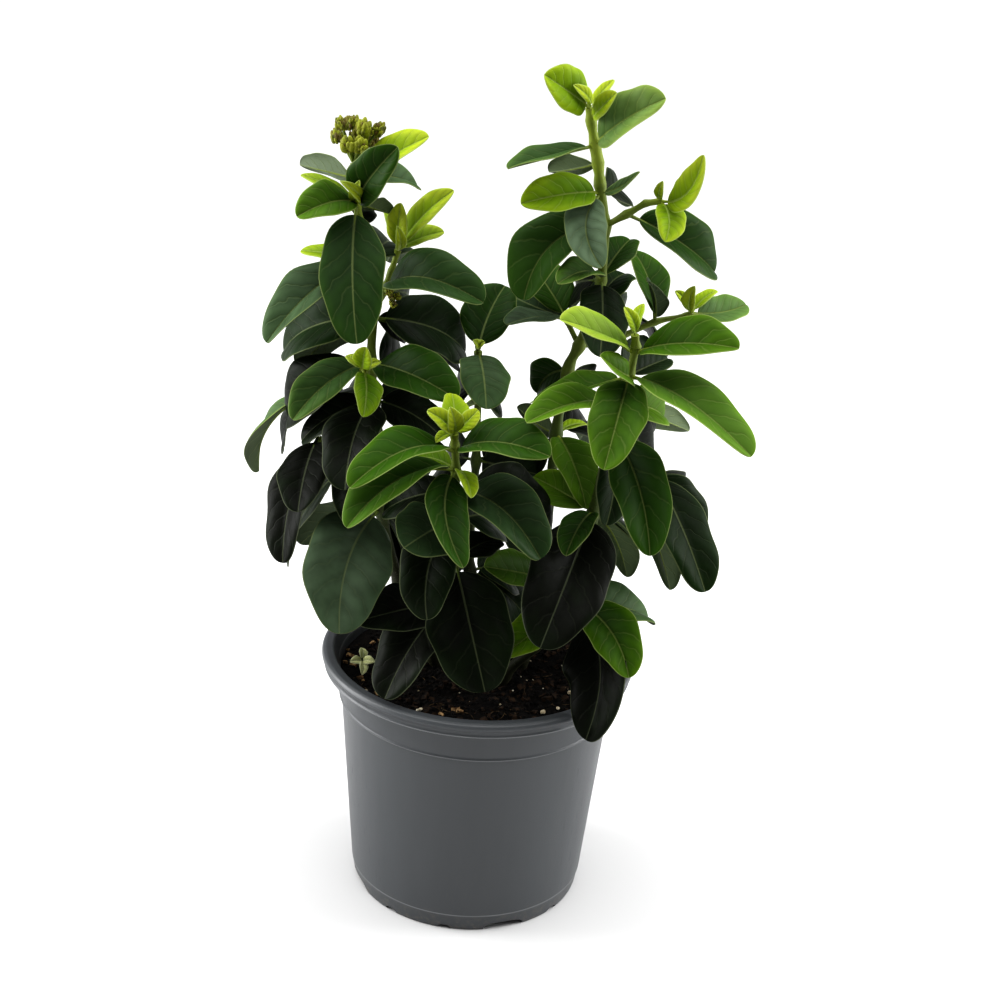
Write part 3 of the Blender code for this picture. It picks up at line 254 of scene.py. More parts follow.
# Leaves
LEANS = {"near": -1.0, "far": 1.0}
BLADE_MIDDLE = 0.88
BLADE_BASE_TAPER = 0.62
LEAF_SET_BACK = 4.0
MOST_TWIST = 0.16
# Painted sheen: the most pale grey-green, standing in for reflected light, that a leaf gets by chance
MOST_PAINTED_SHEEN = 0.1
STALK_TONE = 0.42
STALK_TONE_GAIN = 0.6

# The turn from one flower bud to the next, in radians
GOLDEN_TURN = 2.39996


@dataclass(frozen=True)
class Age:
    """How the leaves of one age are made.

    stalk is the share of the length where the stalk ends and the blade starts. rise is the angle of
    the two halves above the midrib, wave is the edge's wave as a share of the half width, and a lower
    blunt gives a rounder tip. tones are the darkest and the lightest, from old at nought to lime at one.
    """

    stalk: float
    rise: float
    wave: float
    blunt: float
    tones: tuple[float, float]


AGES = {
    "old": Age(0.1, 16.0, 0.10, 0.5, (0.0, 0.16)),
    "folded": Age(0.1, 29.0, 0.08, 0.5, (0.08, 0.24)),
    "green": Age(0.1, 27.0, 0.08, 0.54, (0.36, 0.56)),
    "back": Age(0.1, 12.0, 0.06, 0.5, (0.0, 0.16)),
    "young": Age(0.12, 24.0, 0.05, 0.6, (0.72, 0.95)),
    "tip": Age(0.12, 22.0, 0.0, 0.75, (0.85, 1.0))}


@dataclass(frozen=True)
class Stem:
    """One stem or twig of a body, with its joints in order.

    start is a joint's name, or the (x, y) in mm where the stem stands in the soil. A joint is its
    pixel's x and y, its depth and the radius there, and is known by the stem's name and its number.
    A stem that is a piece of its own stands off its start by the gap.
    """

    body: str
    name: str
    start: Union[str, Pixel]
    joints: tuple[tuple[float, ...], ...]
    own_piece: bool = False


@dataclass(frozen=True)
class Leaf:
    """One leaf, from its joint on a stem to the pixel x, y of its tip.

    length runs straight from joint to tip and width is across the blade, both in mm. facing is 1
    where the blade is square on to the view and 0 where it is edge on, and of the two ways to turn
    there the blade takes the one that faces the sky more, or less where facing is negative. lean says
    whether the tip comes forward or goes back. tone runs from near black at nought to lime at one,
    and bloom is painted sheen: a pale grey-green that stands in for light reflected off the glossy
    blade. arch and sweep bend the midrib out of and in the blade's plane, as shares of the length.
    shift moves the tip along the line of sight, in mm, and turn turns the blade about its chord, in
    degrees, clear of the leaves before it. under is 1 where the underside shows.
    """

    joint: str
    lean: float
    age: Age
    x: float
    y: float
    length: float
    width: float
    facing: float
    tone: Optional[float] = None
    bloom: Optional[float] = None
    arch: float = 0.14
    sweep: float = 0.0
    shift: float = 0.0
    turn: float = 0.0
    under: float = 0.0

    @classmethod
    def read(cls, row: str) -> "Leaf":
        """A leaf from its row: joint, lean, age, then numbers in order, then any by name."""
        words = row.split()
        named = dict(word.split("=") for word in words if "=" in word)
        joint, lean, age, *numbers = words[:len(words) - len(named)]
        return cls(joint, LEANS[lean], AGES[age], *(float(word) for word in numbers),
                   **{name: float(word) for name, word in named.items()})


@dataclass(frozen=True)
class BudHead:
    """A head of flower buds: short branches from one joint, each with small round buds at its end.

    depth_fan says how far each branch's tip lies behind the joint, bud and twig are radii, all in mm,
    and beside is true where the head stands on the side of its stem, not on its end. bracts are the
    numbers of the branches whose buds are broad and lime.
    """

    body: str
    joint: str
    tips: tuple[Pixel, ...]
    depth_fan: tuple[float, ...]
    bud: float
    twig: float
    beside: bool = False
    bracts: tuple[int, ...] = ()


STEMS = (
    Stem("leafy_stem_left", "left", (-24.0, 3.0), (
        (400, 585, -10, 3.3), (381, 508, -12, 3.1), (378, 440, -10, 2.9), (374, 400, -8, 2.8),
        (371, 364, -6, 2.7), (372, 318, -3, 2.5), (366, 262, -8, 2.3), (360, 222, -12, 2.1))),
    Stem("leafy_stem_left", "fork", "left_6", ((384, 290, 6, 1.9), (392, 270, 10, 1.7))),
    Stem("leafy_stem_left", "side", "left_5", ((366, 373, -20, 1.6),)),
    Stem("leafy_stem_left", "back_twig", "left_3", ((344, 416, 6, 1.9), (306, 394, 14, 1.6))),
    Stem("leafy_stem_left", "low_twig", "left_2", ((346, 466, -4, 1.9), (318, 438, -2, 1.6))),
    Stem("leafy_stem_back", "back", (5.0, 16.0), (
        (470, 570, 22, 2.8), (476, 460, 24, 2.4), (478, 390, 16, 2.1), (478, 352, 10, 1.8))),
    Stem("leafy_stem_middle", "middle", (1.0, -9.0), (
        (452, 600, -26, 2.9), (455, 560, -36, 2.7), (456, 520, -45, 2.5), (456, 492, -52, 2.4),
        (456, 470, -57, 2.2), (455, 445, -60, 2.0))),
    Stem("leafy_stem_right", "right", (24.0, 6.0), (
        (541, 578, 14, 3.3), (556, 434, 20, 3.0), (568, 370, 21, 2.8), (579, 346, 21, 2.7),
        (592, 312, 18, 2.6), (601, 280, 15, 2.5), (605, 226, 12, 2.6), (600, 185, 11, 2.6))),
    Stem("leafy_stem_right", "left_twig", "right_4", ((566, 319, 30, 1.6),)),
    Stem("leafy_stem_right", "far_twig", "right_4", (
        (617, 338, 34, 1.9), (655, 322, 40, 1.7), (686, 316, 40, 1.5))),
    Stem("leafy_stem_right", "high_twig", "right_7", ((627, 214, 6, 1.9), (646, 203, 2, 1.6))),
    Stem("leafy_stem_front_right", "front", (15.0, -13.0), (
        (574, 610, -20, 3.2), (594, 512, -29, 3.0), (612, 430, -38, 2.8), (618, 405, -41, 2.6),
        (629, 376, -43, 2.4), (636, 346, -46, 2.1))),
    Stem("leafy_stem_front_right", "low_right", "front_2", ((630, 486, -8, 2.0), (652, 470, 0, 1.7))),
    Stem("leafy_stem_front_right", "sprout_foot", "front_1", ((577, 607, -30, 1.7),)),
    Stem("low_sprout", "sprout", "sprout_foot_1", ((578, 603, -38, 1.5),), True),
    Stem("young_left", "young_left", "left_8", (
        (357, 203, -12, 1.8), (355, 178, -11, 1.7), (354, 163, -10, 1.5)), True),
    Stem("young_left_fork", "young_fork", "fork_2", ((398, 250, 12, 1.5),), True),
    Stem("young_left_side", "young_side", "side_1", ((363, 370, -27, 1.4),), True),
    Stem("young_middle", "young_middle", "middle_6", ((454, 434, -61, 1.7),), True),
    Stem("young_right", "young_right", "right_8", (
        (598, 163, 10, 2.6), (595, 145, 10, 2.5), (591, 120, 10, 2.3), (590, 108, 10, 1.8)), True),
    Stem("young_right_side", "young_high", "high_twig_2", ((661, 201, 0, 1.5),), True),
    Stem("young_right_back", "young_far", "far_twig_3", ((692, 313, 40, 1.4),), True),
    Stem("young_front_right", "young_front", "front_6", ((635, 335, -47, 1.6),), True),
    Stem("leafy_stem_back", "young_back", "back_4", ((478, 347, 7, 1.3),)),
    Stem("seedling", "seedling", (-62.5, -8.0), ((362, 661, -8, 0.8),)),
)

# Joint, lean, age, tip x and y, length, width, facing, then tone, bloom as the share of painted sheen, and
# arch where they are set
LEAF_ROWS = """
# Upper left stem, from the tip down
young_left_2 near young 429 137 49 23 .6 .9 0 .02
young_left_1 near green 398 147 44 24 .92 .3 0 .1 shift=-8
young_left_2 far green 300 165 38 20 .55 .42 .8 0 under=1
young_left_1 near green 297 217 41 24 .8 .52 .05 shift=8
young_left_1 near tip 340 181 19 7 .8 .95 0 shift=-20
young_left_1 near tip 360 180 20 7 .9 .95 0 shift=-4
young_left_1 near old 357 344 74 33 1 .26 .04 .07 sweep=.03
young_left_2 far green 418 189 42 21 .6 .4 .4 .1
young_left_1 far green 391 214 27 15 .6 .45 .4 0 shift=4 under=1
left_7 far young 301 251 42 13 .7 .8 0 .03
# Fork of the left stem
young_fork_1 near young 401 203 27 13 .9 .97 0 .04
young_fork_1 far young 381 201 31 13 .7 .84 .1 .08
young_fork_1 near young 454 191 49 17 .72 .9 .05 .03 sweep=-.05 shift=12
young_fork_1 near young 444 232 31 16 .6 .84 .1 .06 shift=20
young_fork_1 near tip 397 226 15 7 .9 .95 0 shift=-12
fork_1 near folded 483 303 64 34 .75 .26 .08 .2
left_6 far old 465 352 60 38 .8 .1 .02 .16
left_6 far old 459 370 62 26 .5 .04 0 .1 shift=12
# Middle of the left stem
left_7 near folded 267 343 74 31 .66 .28 .32 sweep=-.04 shift=12
left_6 far old 284 351 60 36 .75 .14 0 .16
left_6 far old 300 367 60 28 .5 .35 .55 .1 turn=14 under=1
left_5 far old 289 420 66 34 .8 .03 0 .2
left_5 near green 293 420 57 27 .74 .44 .2 .13 shift=4
left_5 near green 457 400 58 33 .8 .32 0 .08
left_4 far old 430 408 46 26 .55 .16 .1 .12
young_side_1 near young 366 347 17 12 .9 .84 0 .05
young_side_1 near young 363 417 29 17 .9 .68 0 .12
young_side_1 near tip 346 356 14 8 .8 shift=12
young_side_1 near tip 381 362 13 7 .8 shift=8
left_4 near old 345 490 60 34 .85 .02 0 .12
# Low on the left stem
back_twig_2 far green 259 471 60 24 .6 .5 .35 .1 sweep=-.03 shift=28 turn=42
back_twig_2 far old 284 450 40 20 .7 .1 .05 .05 shift=32 turn=28
low_twig_2 near old 298 512 52 28 .9 0 0 .08
low_twig_2 near old 283 563 76 31 .7 0 0 .1 shift=24
low_twig_1 far old 288 565 70 26 .4 .05 .05 .1
low_twig_1 near old 346 524 40 28 .8 .03 0 .1
left_2 far old 300 544 60 30 .6 .2 .3 .1 under=1
left_2 near old 339 634 82 46 1 .14 .34 .06 sweep=.09
left_2 far old 393 562 44 26 .7 .06 .02 .1 shift=28 turn=-28
middle_1 near old 356 622 62 30 .85 .02 0 .02
# Twin leaves behind the middle
back_4 far old 505 286 43 30 .95 .28 0 .04 sweep=-.04 shift=-4
back_4 near old 486 409 42 28 .95 .34 .3 .08
young_back_1 near tip 473 340 8 5 .8
young_back_1 near tip 485 342 8 5 .8 shift=4
# Front middle stem
young_middle_1 far young 452 394 24 16 .9 .84 0 .05
young_middle_1 near young 427 411 22 12 .8 .92 0 .1
young_middle_1 near young 478 410 21 10 .8 .92 0 .1 shift=16 turn=42
young_middle_1 near tip 450 407 16 10 .9 .98 0 shift=-4
young_middle_1 near tip 436 443 14 8 .6 .86 0 shift=4
young_middle_1 far young 488 401 27 8 .6 .8 .2 .1 shift=32 turn=-42
middle_6 near green 350 488 67 29 .64 .42 0 .16
middle_6 near green 550 457 58 31 .68 .38 .02 .13
middle_5 near green 347 528 72 31 .6 .44 .04 .15
middle_5 near young 412 459 27 15 .6 .72 .05 .12 shift=28
middle_5 near green 463 568 60 24 .95 .3 0 .06 sweep=.14
middle_5 near young 471 498 19 12 .7 .8 0 .1 shift=-16
middle_4 near folded 540 559 62 38 .78 .2 .08 .2 shift=8
middle_4 far old 549 532 64 44 .75 .04 0 .18
middle_3 near old 427 620 60 30 .98 .04 0 .06 sweep=.1
middle_2 near old 485 692 70 45 1 .03 0 .06
middle_1 far old 498 672 62 28 .8 0 0 .1 shift=-28
middle_1 near old 385 699 70 37 .8 0 0 .1 shift=12
# Top of the right stem
young_right_4 near young 544 75 38 25 .86 .8 0 .02
young_right_4 near tip 573 85 16 8 .7 .92 0 shift=-8
young_right_4 far young 614 80 20 8 .7 .94 0 .02
young_right_3 near young 617 93 23 12 .8 .9 0 .02 shift=-12
young_right_2 near green 666 99 54 29 .74 .73 .48 .06
young_right_2 near green 508 169 52 22 .4 .44 .2 0
young_right_1 far green 549 172 31 19 .6 .45 .45 -.03 shift=4 under=1
right_8 near young 640 172 31 8 .7 .5 .4 0 sweep=.1
right_8 near green 521 204 47 24 .88 .74 0 .07
right_8 near green 602 268 50 24 .98 .32 .85 .05 sweep=.16 shift=4 turn=14
right_7 near folded 524 300 66 36 .8 .36 .05 .17 sweep=.11 shift=20
right_7 far green 547 268 40 22 .5 .46 .2 .12
right_6 far green 630 240 36 23 .9 .34 0 .06 shift=4
right_6 near green 558 284 34 20 .55 .46 .15 .12 shift=-16
right_6 near old 600 357 54 28 .95 .1 .02 .06
left_twig_1 far green 532 267 40 29 .9 .4 .02 .06
left_twig_1 far old 507 294 42 28 .7 .2 .05 -.02 shift=4
left_twig_1 near old 507 325 38 24 .3 .2 .3 .06 shift=-4
right_5 far old 625 274 40 26 .8 .2 0 .1
# Side shoot high on the right
high_twig_1 far folded 714 272 64 34 .75 .29 0 .1 sweep=.03
young_high_1 near young 665 242 28 18 .9 .82 0 .08 sweep=-.08
young_high_1 near young 704 155 39 18 .8 .88 0 0 sweep=.22
young_high_1 near tip 663 181 14 6 .8 .86 0
# Right shoot at the back
far_twig_2 far green 632 251 46 24 .75 .4 0 .11
far_twig_2 near green 647 281 30 15 .6 .12 .2 .1 shift=-4 under=1
young_far_1 near tip 675 291 16 8 .8 .84 0
young_far_1 near tip 695 286 17 10 .8 .92 0 shift=-8
young_far_1 far young 717 291 19 10 .7 .84 0 .1
young_far_1 far green 746 305 38 22 .8 .54 .3 -.03 sweep=.05
# Front right stem
young_front_1 near tip 624 307 17 8 .8 .86 0
young_front_1 far young 643 304 19 8 .8 .84 0 .06
front_6 near green 560 320 49 25 .5 .82 .2 .04
front_6 near green 739 349 60 31 .68 .49 0 .08
front_5 near green 600 356 26 18 .6 .56 0 .06 sweep=-.12 shift=-12
front_5 near green 604 470 62 31 1 .5 .04 .08 shift=4
front_5 far green 533 402 58 24 .5 .54 .04 .02 sweep=-.05
front_4 near green 527 423 58 26 .6 .56 .04 .09 shift=-8
right_3 far green 537 393 34 23 .95 .34 .02 .02 sweep=.1 shift=4
right_2 far green 517 407 32 18 .7 .5 .45 0 sweep=.06 under=1
front_5 far green 668 359 30 20 .8 .1 0 .02
front_4 far green 663 418 40 25 .8 .6 0 .12
front_5 near green 751 457 84 32 .66 .56 .1 .1 sweep=.02
front_4 far green 689 431 46 18 .6 .45 .45 .02 shift=32 turn=-28 under=1
front_3 near folded 650 556 73 32 .98 .3 0 .06 sweep=-.05
front_3 far old 606 525 48 24 .8 .1 0 .1 shift=-8
low_right_2 far old 698 538 50 28 .9 .1 0 .08
low_right_2 near old 705 592 72 31 .85 .1 0 .06
low_right_1 far green 670 590 64 27 .75 .35 .45 .06 shift=12 under=1
front_2 far old 627 577 50 22 .7 .3 .3 .1 shift=4 under=1
right_2 near green 586 509 60 26 .9 .54 .02 .1 shift=4
front_2 far young 534 477 48 26 .88 .64 .04 .02
right_2 far young 588 426 22 9 .6 .8 0 .1 shift=12
front_2 near old 540 648 84 44 1 0 0 .1
front_2 near green 566 556 32 20 .85 .28 0 .1 shift=-16
right_1 near green 484 567 40 26 .85 .5 .05 .02 shift=-12
sprout_1 near green 503 655 47 25 .9 .62 0 .02
sprout_1 near green 629 678 52 29 .98 .47 0 .06 sweep=-.1
front_1 far green 648 622 54 31 .7 .36 .25
front_1 near old 586 740 82 42 -.82 0 0 .08 sweep=-.24 shift=20
# Darker leaves in the gaps
left_4 far old 440 436 52 30 .6 .05 0 .12 shift=-32 turn=14
left_4 far old 302 441 50 24 .7 .05 0 .1
middle_4 far old 384 512 46 26 .7 .05 0 .1
front_4 far old 646 474 42 24 .7 .05 0 .06 shift=28
middle_2 far old 498 540 32 22 .8 .05 0 .1
right_2 far old 530 480 34 20 .8 .05 0 .1 shift=32
left_6 far old 404 336 26 16 .7 .05 0 .1 shift=20 turn=14
young_left_1 far young 301 175 34 9 .7 .8 .1 .05
# The side away from the view
left_8 far back 330 196 50 26 .8 turn=42
left_7 far back 388 262 60 30 .7 shift=28 turn=-14
left_6 far back 352 328 64 32 .7 shift=16 turn=14
left_5 far back 394 372 66 34 .7 shift=12
left_4 far back 352 404 66 34 .7 shift=8 turn=14
left_3 far back 396 458 68 34 .7
left_2 far back 362 520 68 36 .7 shift=4 turn=42
left_1 far back 414 596 60 34 .7
fork_1 far back 399 302 56 28 .7 shift=4
back_twig_2 far back 314 392 56 30 .7
low_twig_2 far back 326 478 56 30 .7 shift=4
back_3 far back 466 396 58 30 .7
back_3 far back 486 398 56 28 .7
back_2 far back 450 470 62 34 .7
back_2 far back 504 468 62 34 .7
back_1 far back 446 578 60 34 .7
back_1 far back 506 582 60 34 .7
middle_3 far back 482 530 62 34 .8 shift=8 turn=-14
middle_3 near back 404 548 54 36 .9 arch=.04 shift=-8
right_1 far back 562 590 60 34 .7
right_2 far back 580 440 62 34 .7 shift=32 turn=-14
right_3 far back 570 392 56 28 .7 shift=-4 turn=-14
right_5 far back 600 322 58 30 .7 shift=28
right_6 far back 584 292 58 30 .7
right_7 far back 588 232 52 28 .7
right_8 far back 614 196 46 24 .7
far_twig_1 far back 628 374 58 30 .7
far_twig_2 far back 654 326 74 36 .7 arch=.08 turn=-14
front_1 far back 604 606 60 34 .7 turn=14
front_2 far back 612 540 60 34 .8 shift=16 turn=-42
front_3 far back 636 446 60 32 .7 shift=-12 turn=42
low_right_2 far back 662 512 52 32 .7
low_right_1 far back 648 530 60 32 .8 shift=-8 turn=-28
left_2 far back 404 560 58 34 .85 arch=.06 shift=24
back_2 far back 536 474 52 34 .85 arch=.06 shift=-32 turn=28
back_1 far back 522 612 50 34 .85 arch=.06 shift=12
left_3 far back 432 462 50 32 .85 arch=.06 shift=-12
front_2 far back 628 500 40 28 .85 arch=.06 shift=32 turn=-42
right_1 far back 520 520 52 34 .85 arch=.06
# The weed seedling's four leaves
seedling_1 far tip 362 648 8.5 5.8 .9
seedling_1 near tip 375 662 8.5 5.8 .9
seedling_1 near tip 350 662 8.5 5.8 .9
seedling_1 near tip 362 675 8.5 5.8 .9 shift=-4
"""
LEAVES = [Leaf.read(row) for row in LEAF_ROWS.strip().splitlines() if not row.startswith("#")]

BUD_HEADS = (
    BudHead("flower_buds_top", "young_left_3",
            ((342, 126), (338, 138), (353, 125), (377, 132), (370, 142), (348, 147), (363, 130),
             (360, 148)),
            (-3.0, 5.0, 4.0, -2.0, 5.0, -8.0, -5.0, -9.0), 3.0, 1.1, False, (5, 6, 7)),
    BudHead("flower_buds_fork", "fork_1",
            ((389, 293), (397, 297), (393, 304)),
            (-14.0, -13.0, -15.0), 1.7, 0.7, True),
)

# Pixels of the white flecks, the cream bits and the tan bark on the mix
WHITE_FLECKS = ((521, 677), (527, 680), (533, 679), (513, 690), (513, 699), (531, 696), (535, 682),
                (562, 663), (543, 690), (500, 707), (470, 700))
CREAM_BITS = ((421, 707), (418, 708), (566, 689), (570, 692), (558, 708), (543, 710), (366, 690))
TAN_BITS = ((363, 680), (360, 677), (350, 655), (345, 661), (460, 712), (456, 709), (372, 642), (384, 643),
            (379, 640), (391, 650), (354, 664), (348, 649), (377, 694), (441, 712))


# Where everything grows


class View:
    """The front view that places on the plant are given in, all in mm."""

    def __init__(self) -> None:
        """Work out the view's axes and the eye."""
        tilt = math.radians(VIEW_ELEVATION)
        roll = math.radians(VIEW_ROLL)
        self.forward = Vector((0.0, math.cos(tilt), -math.sin(tilt)))
        across = Vector((1.0, 0.0, 0.0))
        upward = across.cross(self.forward)
        self.right = across * math.cos(roll) + upward * math.sin(roll)
        self.up = upward * math.cos(roll) - across * math.sin(roll)
        target = Vector((0.0, 0.0, VIEW_TARGET_HEIGHT))
        self.eye = (target - self.forward * VIEW_DISTANCE
                    - self.right * VIEW_SHIFT[0] - self.up * VIEW_SHIFT[1])

    def ray(self, pixel: Pixel) -> Vector:
        """The unit direction from the eye through a pixel."""
        x = (pixel[0] - VIEW_CENTRE) / VIEW_FOCAL
        y = (VIEW_CENTRE - pixel[1]) / VIEW_FOCAL
        return (self.forward + self.right * x + self.up * y).normalized()

    def at_depth(self, pixel: Pixel, depth: float) -> Vector:
        """The point under a pixel that lies depth behind the pot's axis."""
        ray = self.ray(pixel)
        return self.eye + ray * ((depth - self.eye.y) / ray.y)

    def at_length(self, base: Vector, pixel: Pixel, length: float, lean: float) -> Vector:
        """The point under a pixel, a length away from base."""
        ray = self.ray(pixel)
        along = (base - self.eye).dot(ray)
        foot = self.eye + ray * along
        spare = length * length - (foot - base).length_squared
        return foot + ray * (lean * math.sqrt(max(spare, 0.0)))


VIEW = View()


class Plant:
    """The stems' joints in space, and each stem's path."""

    def __init__(self) -> None:
        """Work out every stem in order."""
        self.joints: dict[str, tuple[Vector, float, Vector]] = {}
        self.topped = {stem.start for stem in STEMS if stem.own_piece}
        self.bodies: dict[str, str] = {}
        self.paths: list[tuple[Stem, Path, Optional[tuple[Vector, float]]]] = []
        for stem in STEMS:
            self.add(stem)

    def add(self, stem: Stem) -> None:
        """Work out where one stem runs, and where it is rooted in the stem that it leaves."""
        first_radius = stem.joints[0][3]
        root = None
        if isinstance(stem.start, str):
            start, parent_radius, parent_way = self.joints[stem.start]
            offset = parent_way * GAP if stem.own_piece else Vector()
            path = [(start + offset, min(parent_radius, first_radius))]
            root = (start - parent_way * ROOT_DEPTH, parent_radius)
        else:
            path = [(Vector((*stem.start, height)), first_radius) for height in (STEM_FOOT, STEM_OUT)]
        for number, (x, y, depth, radius) in enumerate(stem.joints, 1):
            name = f"{stem.name}_{number}"
            point = VIEW.at_depth((x, y), depth)
            self.joints[name] = (point, radius, (point - path[-1][0]).normalized())
            self.bodies[name] = stem.body
            path.append((point, radius))
        self.paths.append((stem, path, root))

    def leaf_base(self, joint: str) -> Vector:
        """Where the leaves of a joint start: set back below a young shoot that tops the stem there."""
        point, _, way = self.joints[joint]
        return point - way * LEAF_SET_BACK if joint in self.topped else point


class LeafPose:
    """Where a leaf lies, and its own wave, twist and colour."""

    def __init__(self, leaf: Leaf, base: Vector, seed: int) -> None:
        """Place the leaf.

        Args:
            leaf: the leaf.
            base: its joint, in mm.
            seed: the seed of its wave and twist.
        """
        self.leaf = leaf
        self.base = base
        pixel = (leaf.x, leaf.y)
        tip = VIEW.at_length(base, pixel, leaf.length, leaf.lean) + VIEW.ray(pixel) * leaf.shift
        self.chord = tip - base
        self.normal = self.face(tip)
        self.side = self.chord.normalized().cross(self.normal)
        draw = random.Random(seed)
        self.phase = draw.uniform(0.0, 2.0 * math.pi)
        self.twist = draw.uniform(-MOST_TWIST, MOST_TWIST)
        self.luck = draw.random()
        darkest, lightest = leaf.age.tones
        self.tone = darkest + (lightest - darkest) * self.luck if leaf.tone is None else leaf.tone
        # A leaf without a listed share of painted sheen gets some by chance
        self.bloom = MOST_PAINTED_SHEEN * self.luck if leaf.bloom is None else leaf.bloom
        self.stalk_tone = min(1.0, STALK_TONE + STALK_TONE_GAIN * self.tone)

    def face(self, tip: Vector) -> Vector:
        """The blade's normal, turned about the chord until it faces the view as far as it should.

        Args:
            tip: the leaf's tip, in mm.

        Returns:
            The normal.
        """
        way = self.chord.normalized()
        to_eye = (VIEW.eye - tip).normalized()
        square = (to_eye - way * to_eye.dot(way)).normalized()
        rising = Vector((0.0, 0.0, 1.0)) - way * way.z
        tilt = math.acos(abs(self.leaf.facing))
        options = []
        for sign in (1.0, -1.0):
            normal = Matrix.Rotation(sign * tilt, 3, way) @ square
            options.append(-normal if self.leaf.under else normal)
        pick = max if self.leaf.facing > 0.0 else min
        best = pick(options, key=lambda normal: normal.dot(rising))
        return Matrix.Rotation(math.radians(self.leaf.turn), 3, way) @ best

    def midrib(self, t: float) -> Vector:
        """The midrib's point at a share t of the way from the stem to the tip."""
        bow = 4.0 * t * (1.0 - t) * self.chord.length
        return (self.base + self.chord * t + self.normal * (self.leaf.arch * bow)
                + self.side * (self.leaf.sweep * bow))


class ShapeGraph(Graph):
    """A Geometry Nodes tree with named inputs, applied to an object once."""

    SOCKETS = {int: "NodeSocketInt", float: "NodeSocketFloat",
               bpy.types.Material: "NodeSocketMaterial"}

    def __init__(self, name: str, inputs: dict[str, Value]) -> None:
        """Make the tree and its inputs."""
        super().__init__(bpy.data.node_groups.new(name, "GeometryNodeTree"))
        self.values = inputs
        face = self.tree.interface
        face.new_socket("Geometry", in_out="INPUT", socket_type="NodeSocketGeometry")
        for label, value in inputs.items():
            face.new_socket(label, in_out="INPUT", socket_type=self.SOCKETS[type(value)])
        face.new_socket("Geometry", in_out="OUTPUT", socket_type="NodeSocketGeometry")
        self.entry = self.tree.nodes.new("NodeGroupInput")

    def given(self, label: str) -> Term:
        """A named input of the tree."""
        return Term(self, self.entry.outputs[label])

    def stored(self, name: str, kind: str = "FLOAT") -> Term:
        """An attribute of the points."""
        return self.node("GeometryNodeInputNamedAttribute", {"data_type": kind}, {"Name": name})

    def keep(self, shape: Term, name: str, value: Value, kind: str = "FLOAT",
             domain: str = "POINT") -> Term:
        """Store an attribute."""
        return self.node("GeometryNodeStoreNamedAttribute", {"data_type": kind, "domain": domain},
                         {"Geometry": shape, "Name": name, "Value": value})

    def sharpened(self, shape: Term, angle: float) -> Term:
        """Smooth faces with sharp edges past an angle in radians."""
        smooth = self.node("GeometryNodeSetShadeSmooth", {}, {"Geometry": shape})
        bend = self.node("GeometryNodeInputMeshEdgeAngle")
        return self.keep(smooth, "sharp_edge", bend > angle, "BOOLEAN", "EDGE")

    def moved(self, shape: Term, **sockets: Value) -> Term:
        """The points set to a Position, or moved by an Offset."""
        return self.node("GeometryNodeSetPosition", {}, {"Geometry": shape, **sockets})

    def copied(self, points: Term, shape: Term, **sockets: Value) -> Term:
        """One copy of a shape on each point, realized."""
        copies = self.node("GeometryNodeInstanceOnPoints", {}, {
            "Points": points, "Instance": shape, **sockets})
        return self.node("GeometryNodeRealizeInstances", {}, {"Geometry": copies})

    def coated(self, shape: Term, label: str, where: Optional[Term] = None) -> Term:
        """The shape, or its chosen faces, in the material of a named input."""
        return self.node("GeometryNodeSetMaterial", {}, {
            "Geometry": shape, "Selection": where, "Material": self.given(label)})

    def end(self, shape: Term) -> None:
        """Give the tree its result, realized."""
        solid = self.node("GeometryNodeRealizeInstances", {}, {"Geometry": shape})
        leave = self.tree.nodes.new("NodeGroupOutput")
        self.feed(leave.inputs["Geometry"], solid)

    def applied(self, piece: bpy.types.Object, kept: Sequence[str]) -> bpy.types.Object:
        """Turn the tree's result into the object's plain mesh.

        Args:
            piece: the object that carries the points or edges.
            kept: the attributes that its materials read.

        Returns:
            The same object, without a modifier.
        """
        modifier = piece.modifiers.new(self.tree.name, "NODES")
        modifier.node_group = self.tree
        for item in self.tree.interface.items_tree:
            if item.in_out == "INPUT" and item.name in self.values:
                modifier[item.identifier] = self.values[item.name]
        evaluated = piece.evaluated_get(bpy.context.evaluated_depsgraph_get())
        mesh = bpy.data.meshes.new_from_object(evaluated)
        old = piece.data
        piece.modifiers.clear()
        piece.data = mesh
        mesh.name = piece.name
        bpy.data.meshes.remove(old)
        spare = [layer.name for layer in mesh.attributes if not layer.is_required
                 and not layer.name.startswith((".", "sharp_", "material_")) and layer.name not in kept]
        for label in spare:
            mesh.attributes.remove(mesh.attributes[label])
        return piece


def carrier(name: str, points: Sequence[Vector], edges: Sequence[tuple[int, int]],
            attributes: dict[str, Sequence], faces: Sequence[tuple[int, ...]] = ()) -> bpy.types.Object:
    """An object whose points carry attributes for a tree.

    Args:
        name: the object's name.
        points: places in mm.
        edges: pairs of points.
        attributes: a number or a vector for each point, by name.
        faces: faces, where the tree works on a surface.

    Returns:
        The object, linked to the scene.
    """
    mesh = bpy.data.meshes.new(name)
    mesh.from_pydata([tuple(Vector(p) * MM) for p in points], list(edges), list(faces))
    for label, values in attributes.items():
        wide = not isinstance(values[0], (int, float))
        kind = "FLOAT_VECTOR" if wide else "FLOAT"
        layer = mesh.attributes.new(label, kind, "POINT")
        for item, value in zip(layer.data, values):
            if wide:
                item.vector = value
            else:
                item.value = value
    piece = bpy.data.objects.new(name, mesh)
    bpy.context.scene.collection.objects.link(piece)
    return piece


def seat(piece: bpy.types.Object, slot: str, *nodes: str) -> bpy.types.Object:
    """Let a finished piece ride on the plant's one body."""
    materials = piece.data.materials
    while len(materials) > 1 and materials[0] is None:
        materials.pop(index=0)
    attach(piece, "root")
    if nodes:
        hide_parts(*nodes)
    LOG.info("%s: %d faces", piece.name, len(piece.data.polygons))
    return piece


# Finishes


